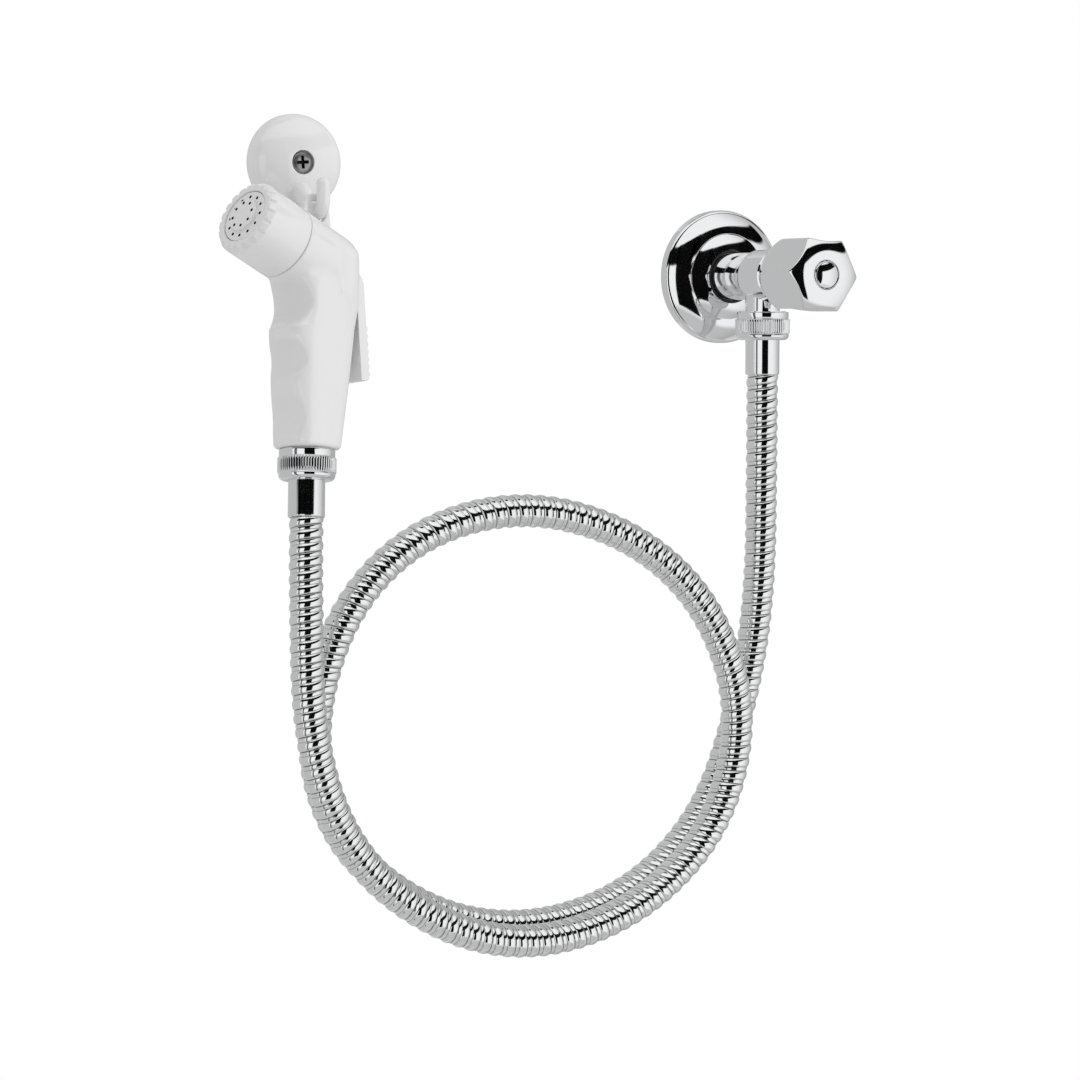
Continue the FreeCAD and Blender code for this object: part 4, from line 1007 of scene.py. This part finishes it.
def blend_neck(mesh):
    """Lets the head and the grip flow into one another."""
    local = HANDSET.inverted()
    neck = [vertex for vertex in mesh.verts if in_neck((local @ vertex.co) / MM)]
    for _ in range(NECK_PASSES):
        bmesh.ops.smooth_vert(mesh, verts=neck, factor=0.5,
                              use_axis_x=True, use_axis_y=True, use_axis_z=True)
    print("neck smoothed at", len(neck), "points")


def handset_solid(name, builder):
    """A builder's overlapping closed meshes in the handset's place, joined into one skin."""
    mesh = bmesh.new()
    builder(mesh)
    # Before the move: done after it, the moulding came out with faulty faces
    bmesh.ops.recalc_face_normals(mesh, faces=mesh.faces)
    mesh.transform(HANDSET @ Matrix.Scale(MM, 4))
    solid = as_object(name, mesh)
    remesh = solid.modifiers.new("join", "REMESH")
    remesh.mode = "VOXEL"
    remesh.voxel_size = MOULD_GRAIN
    return solid


def build_handset():
    """Joins the outside, blends the neck, and cuts the hollows."""
    outside = handset_solid("handset_outside", handset_outside)
    smooth = outside.modifiers.new("mould_radii", "SMOOTH")
    smooth.factor = 0.5
    smooth.iterations = MOULD_SMOOTHING
    skin = applied(outside)
    rough = outside.data
    outside.modifiers.clear()
    outside.data = skin
    bpy.data.meshes.remove(rough)
    mesh = bmesh.new()
    mesh.from_mesh(skin)
    blend_neck(mesh)
    mesh.to_mesh(skin)
    mesh.free()
    hollows = handset_solid("handset_hollows", handset_hollows)
    moulding = cut_with(outside, hollows, "INDEX")
    piece_from(moulding, "handset_moulding", [white_plastic], "handset_white", "fixed",
               "handset_body")


build_handset()

# %% [markdown]
# ### Spray disc
# The disc has twelve holes round eight. Nothing lights the inside of a hole, so the
# cutters carry painted shade, a near black colour, and the cut keeps it on the holes'
# walls. Round dark spots on the surface would look painted from the side.

# %% Spray disc
# Radius, number and first angle of each ring of holes
HOLE_RINGS = [(9.0, 12, 0.0), (5.5, 8, 0.2)]
HOLE_RADIUS = 0.72
HOLE_DEPTH = 8
NOZZLE_IN_ROOM = HANDSET @ NOZZLE


def soften_flat(piece, degrees):
    """Smooth shading with sharp lines where faces meet at more than an angle."""
    mesh = bmesh.new()
    mesh.from_mesh(piece.data)
    for edge in mesh.edges:
        if len(edge.link_faces) == 2:
            edge.smooth = edge.calc_face_angle() < math.radians(degrees)
    mesh.to_mesh(piece.data)
    mesh.free()


def hole_cutters():
    """A round bar for each spray hole."""
    mesh = bmesh.new()
    for ring, count, start in HOLE_RINGS:
        for index in range(count):
            angle = start + 2 * math.pi * index / count
            made = bmesh.ops.create_cone(mesh, cap_ends=True, segments=20, radius1=HOLE_RADIUS,
                                         radius2=HOLE_RADIUS, depth=HOLE_DEPTH)
            shift = Matrix.Translation((ring * math.cos(angle), ring * math.sin(angle), 0))
            bmesh.ops.transform(mesh, matrix=shift, verts=made["verts"])
    mesh.transform(NOZZLE_IN_ROOM @ Matrix.Scale(MM, 4))
    return held_mesh("spray_holes", mesh, painted_hole_shade)


def build_spray_disc():
    """A turned disc with a raised middle, drilled through."""
    outline = [(0, 0.2), (6.4, 0.2), (6.4, -2.95), (12.4, -2.95), (12.4, -1.45), (11.5, -1.45)]
    outline += [(11.5, -0.5), (11.4, -0.2), (11.2, -0.04), (10.9, 0), (7.9, 0)]
    outline += arc((7.75, 0.05), (7.45, 0.35), (7.35, 0.9), 4)
    outline += arc((7.3, 1.1), (7.0, 1.55), (6.5, 1.7), 5)
    outline += [(6.3, 1.7), (0, 1.7)]
    disc = held_mesh("spray_disc_blank", turn(outline, 96, NOZZLE_IN_ROOM), white_plastic)
    drilled = cut_with(disc, hole_cutters())
    piece = piece_from(drilled, "drilled_spray_disc", [white_plastic, painted_hole_shade], "spray_white",
                       "fixed", "spray_face")
    soften_flat(piece, degrees=35)


build_spray_disc()

# %% [markdown]
# ### Nozzle collar
# The collar screws over the head and holds the disc. Twenty U shaped grips are milled
# across the edge of its rim, so the turned collar is cut by twenty small bars.

# %% Nozzle collar
COLLAR_NOTCHES = 20
COLLAR_BORE = 12.6
NOTCH_HALF = 1.15
NOTCH_OPEN = 3
NOTCH_REACH = 4
NOTCH_MIDDLE = Vector((15.2, 0, 0.3))


def notch_bar(mesh, turned):
    """A bar with a round underside that lies slantwise across the rim's edge."""
    along = Vector((1, 0, -1)).normalized()
    outward = Vector((1, 0, 1)).normalized()
    across = Vector((0, 1, 0))
    plan = [(NOTCH_HALF, NOTCH_OPEN)]
    for step in range(13):
        angle = -math.pi * step / 12
        plan.append((NOTCH_HALF * math.cos(angle), NOTCH_HALF * math.sin(angle)))
    plan.append((-NOTCH_HALF, NOTCH_OPEN))
    spin = Matrix.Rotation(turned, 4, "Z")
    ends = []
    for reach in (-NOTCH_REACH, NOTCH_REACH):
        middle = NOTCH_MIDDLE + along * reach
        spots = [middle + across * side + outward * rise for side, rise in plan]
        ends.append([mesh.verts.new(spin @ spot) for spot in spots])
    join_rings(mesh, ends)
    mesh.faces.new(ends[0][::-1])
    mesh.faces.new(ends[1])


def build_collar():
    """A turned sleeve with a lip over the disc, notched round its rim."""
    outline = [(COLLAR_BORE, -1.4), (COLLAR_BORE, -23.1), (15.8, -23.1), (16.1, -22.95)]
    outline += [(16.2, -22.65), (16.2, -2.1), (16.14, -1.75), (14.85, 0.2), (14.6, 0.4)]
    outline += [(12.1, 0.4), (11.85, 0.32), (11.75, 0.1), (11.75, -1.4)]
    blank = held_mesh("collar_blank", turn(outline, 240, NOZZLE_IN_ROOM), white_plastic)
    mesh = bmesh.new()
    for index in range(COLLAR_NOTCHES):
        notch_bar(mesh, 2 * math.pi * index / COLLAR_NOTCHES)
    mesh.transform(NOZZLE_IN_ROOM @ Matrix.Scale(MM, 4))
    bars = held_mesh("notch_bars", mesh, white_plastic)
    piece = piece_from(cut_with(blank, bars), "notched_collar", [white_plastic], "collar_white",
                       "fixed", "nozzle_collar")
    soften_flat(piece, degrees=30)


build_collar()

# %% [markdown]
# ### Hinge pin
# A plain steel pin carries the lever. It stops short of the moulding's skin, and its
# ends are chamfered so that it goes into its hole.

# %% Hinge pin
PIVOT_BACK = 15.5
PIVOT_HEIGHT = 73.5
PIN_RADIUS = 1.5
PIN_HALF = 9.4
PIN_CHAMFER = 0.3


def build_hinge_pin():
    """A turned pin that lies across the handset."""
    place = HANDSET @ Matrix.Translation((-PIVOT_BACK * MM, 0, PIVOT_HEIGHT * MM))
    place = place @ Matrix.Rotation(math.radians(90), 4, "X")
    half = [(0, PIN_HALF), (PIN_RADIUS - PIN_CHAMFER, PIN_HALF), (PIN_RADIUS, PIN_HALF - PIN_CHAMFER)]
    outline = [(radius, -height) for radius, height in half] + half[::-1]
    piece_from(turn(outline, 32, place), "hinge_pin", [steel], "pin_steel", "fixed", "lever_pin")


build_hinge_pin()

# %% [markdown]
# ## Wall screw
# The screw in the dome has a slightly raised head with a cross recess. Two crossed
# bars would overlap and upset the boolean, so the cutter is one closed prism with
# the plan of a cross. Its painted shade, a near black colour, stays on the recess, which no light
# reaches.

# %% Wall screw
DOME_CENTRE = Matrix.Translation((-0.2139, 0, 0.0475)) @ OUT_OF_WALL
SCREW_SEAT = 9.55
SCREW_TOP = 12.1
SCREW_RADIUS = 4.55
# One arm's corners: the inner one, then the two at its end
CROSS_CORNERS = [(0.7, 0.7), (0.7, 2.75), (-0.7, 2.75)]
CROSS_TURN = 4
CROSS_DEPTH = 2.2
CROSS_ABOVE = 1.5


def cross_cutter():
    """A prism with the plan of a cross."""
    plan = []
    for arm in range(4):
        spin = Matrix.Rotation(math.radians(90 * arm + CROSS_TURN), 2)
        plan += [spin @ Vector(corner) for corner in CROSS_CORNERS]
    mesh = bmesh.new()
    rings = []
    for height in (SCREW_TOP - CROSS_DEPTH, SCREW_TOP + CROSS_ABOVE):
        rings.append([mesh.verts.new((spot.x, spot.y, height)) for spot in plan])
    join_rings(mesh, rings)
    mesh.faces.new(rings[1])
    mesh.faces.new(rings[0][::-1])
    mesh.transform(DOME_CENTRE @ Matrix.Scale(MM, 4))
    return held_mesh("screw_cross", mesh, painted_hole_shade)


def build_wall_screw():
    """A turned screw with a point, a shank and a raised head."""
    outline = [(0, -27), (0.4, -27), (2.0, -24), (2.0, -0.5), (2.4, 0), (2.4, SCREW_SEAT)]
    outline += [(SCREW_RADIUS, SCREW_SEAT), (SCREW_RADIUS, SCREW_TOP - 0.7)]
    outline += arc((SCREW_RADIUS - 0.05, SCREW_TOP - 0.5), (3.6, SCREW_TOP - 0.08),
                   (1.6, SCREW_TOP + 0.12), 8)
    outline += [(1.5, SCREW_TOP + 0.13), (0, SCREW_TOP + 0.15)]
    blank = held_mesh("screw_blank", turn(outline, 64, DOME_CENTRE), steel)
    piece = piece_from(cut_with(blank, cross_cutter()), "cross_head_screw", [steel, painted_hole_shade],
                       "screw_steel", "fixed", "holder_screw")
    soften_flat(piece, degrees=35)


build_wall_screw()

# %% [markdown]
# ## The hose
# A metal shower hose is a strip wound into a tube: each turn is a wide raised band
# and a narrow sunk one. Its route is a NURBS curve through listed points, which
# bends as evenly as the hose does. It leaves the handset, makes one loop under its
# own weight, and comes up to the tap from below.

# %% Hose route
HOSE_ROUTE = [
    (-229.7, -50.8, -102.1),
    (-232.4, -55.6, -131.6),
    (-234, -63, -199),
    (-212, -58, -248),
    (-170, -60, -281),
    (-122, -60, -292),
    (-70, -58, -279),
    (-31, -57, -244),
    (-19, -56, -193),
    (-38.5, -55, -144.5),
    (-76, -52, -113),
    (-128, -49, -99),
    (-179, -46, -111),
    (-212.5, -42, -146),
    (-226, -41, -199.5),
    (-209.5, -41, -246.5),
    (-166.5, -41, -279),
    (-117, -41, -289),
    (-66, -40, -277),
    (-28, -39, -244),
    (-10, -39, -196),
    (-0.6, -39.4, -147),
    (0, -39.4, -74.7),
    (0, -39.4, -44.7),
]


def route_points(points):
    """Reads a smooth line from a NURBS spline with these control points."""
    data = bpy.data.curves.new("hose_route", "CURVE")
    data.dimensions = "3D"
    spline = data.splines.new("NURBS")
    spline.points.add(len(points) - 1)
    for point, place in zip(spline.points, points):
        point.co = (*(part / 1000 for part in place), 1)
    spline.order_u = 3
    spline.use_endpoint_u = True
    spline.resolution_u = 32
    route = placed("hose_route", data)
    line = bpy.data.meshes.new_from_object(route)
    read = [vertex.co.copy() for vertex in line.vertices]
    bpy.data.objects.remove(route)
    bpy.data.meshes.remove(line)
    return read


hose_line = route_points(HOSE_ROUTE)
hose_length = sum((after - before).length for before, after in zip(hose_line, hose_line[1:]))
print("hose line has", len(hose_line), "points and is", round(hose_length, 4), "m long")

# %% [markdown]
# ### The strip
# One turn of the strip is a short profile: a raised band that bulges a little, a deep
# gap where it ends, and a sunk band up to the next turn. A screw thread made by
# displacement would smear the gaps, so the profile's points become the mesh itself.

# %% Strip profile
HOSE_RADIUS = 0.00725
WINDING_PITCH = 0.00575
STEPS_ROUND = 32
# One turn of the strip: how far along the pitch, and how far below the full radius
STRIP_PROFILE = [
    (0.00, 0.00070),
    (0.015, 0.00042),
    (0.08, 0.00025),
    (0.18, 0.00009),
    (0.32, 0.0),
    (0.46, 0.00009),
    (0.56, 0.00025),
    (0.625, 0.00042),
    (0.645, 0.00130),
    (0.68, 0.00066),
    (0.74, 0.00057),
    (0.86, 0.00055),
    (0.96, 0.00062),
]
# How much painted shade the plating gets in the gaps on either side of the raised band, where no
# light reaches
CREVICE_SHADE_LEVELS = {0.0: 0.75, 0.645: 1.0, 0.68: 0.6}
print("the strip makes about", round(hose_length / WINDING_PITCH), "turns")

# %% [markdown]
# ### A steady frame along the line
# To wind round a bent line, each point of it needs two sideways directions that turn
# as little as possible. Each pair is carried on from the one before it.

# %% Line frames


def framed_line(points):
    """Distances along a line, with its direction and one side vector at each point."""
    distances = [0.0]
    for before, after in zip(points, points[1:]):
        distances.append(distances[-1] + (after - before).length)
    tangents = []
    for index in range(len(points)):
        before = points[max(index - 1, 0)]
        after = points[min(index + 1, len(points) - 1)]
        tangents.append((after - before).normalized())
    side = tangents[0].orthogonal().normalized()
    sides = []
    for tangent in tangents:
        side = (side - tangent * side.dot(tangent)).normalized()
        sides.append(side)
    return points, distances, tangents, sides


def line_frame(line, along, span):
    """The line's place and two side vectors at a distance along it, searched from a span."""
    points, distances, tangents, sides = line
    while span < len(points) - 2 and distances[span + 1] < along:
        span += 1
    mix = (along - distances[span]) / (distances[span + 1] - distances[span])
    centre = points[span].lerp(points[span + 1], mix)
    tangent = tangents[span].lerp(tangents[span + 1], mix).normalized()
    side = sides[span].lerp(sides[span + 1], mix)
    side = (side - tangent * side.dot(tangent)).normalized()
    return centre, side, tangent.cross(side), span


# %% [markdown]
# ### Winding
# Every step round the hose gets one copy of the profile, moved on by its share of the
# pitch. The last point of a profile joins the first of the copy one whole turn on, so
# the hose is one continuous helix, and its bands' edges stay crisp.

# %% Hose winding
LOOK_BACK = 40


def wind_strip(mesh, line):
    """Rows of points, one copy of the profile for each step round the hose."""
    crevice_shade = mesh.verts.layers.float.new("crevice_shade")
    total = line[1][-1]
    turns = math.ceil(total / WINDING_PITCH) + 1
    rows = []
    span = 0
    for step in range(-STEPS_ROUND, turns * STEPS_ROUND + 1):
        angle = 2 * math.pi * step / STEPS_ROUND
        row = []
        for share, sunk in STRIP_PROFILE:
            along = (step / STEPS_ROUND + share) * WINDING_PITCH
            along = min(max(along, 0.0), total)
            span = max(span - LOOK_BACK, 0)
            centre, side, other, span = line_frame(line, along, span)
            out = side * math.cos(angle) + other * math.sin(angle)
            vertex = mesh.verts.new(centre + out * (HOSE_RADIUS - sunk))
            # Each point carries its share of painted shade for the gaps.
            vertex[crevice_shade] = CREVICE_SHADE_LEVELS.get(share, 0.0)
            row.append(vertex)
        rows.append(row)
    return rows


def join_strip(mesh, rows):
    """Faces along the strip, and faces that join each turn to the next."""
    last = len(STRIP_PROFILE) - 1
    for index in range(len(rows) - 1):
        row, following = rows[index], rows[index + 1]
        for k in range(last):
            mesh.faces.new((row[k], following[k], following[k + 1], row[k + 1]))
        onward = index + STEPS_ROUND
        if onward + 1 < len(rows):
            mesh.faces.new((row[last], following[last], rows[onward + 1][0], rows[onward][0]))


def wind_hose(points):
    """The whole hose as one piece."""
    mesh = bmesh.new()
    join_strip(mesh, wind_strip(mesh, framed_line(points)))
    bmesh.ops.remove_doubles(mesh, verts=mesh.verts, dist=0.0000005)
    bmesh.ops.recalc_face_normals(mesh, faces=mesh.faces)
    wound = as_object("wound_hose", mesh)
    wound.data.shade_smooth()
    wound.data.materials.append(hose_chrome)
    return wound


hose = wind_hose(hose_line)
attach(hose, "fixed")
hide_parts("hose")
print("hose mesh has", len(hose.data.polygons), "faces")

# %% [markdown]

# %% [markdown]
# ## Closing
# The view layer is brought up to date at the end.

# %% Finish
bpy.context.view_layer.update()
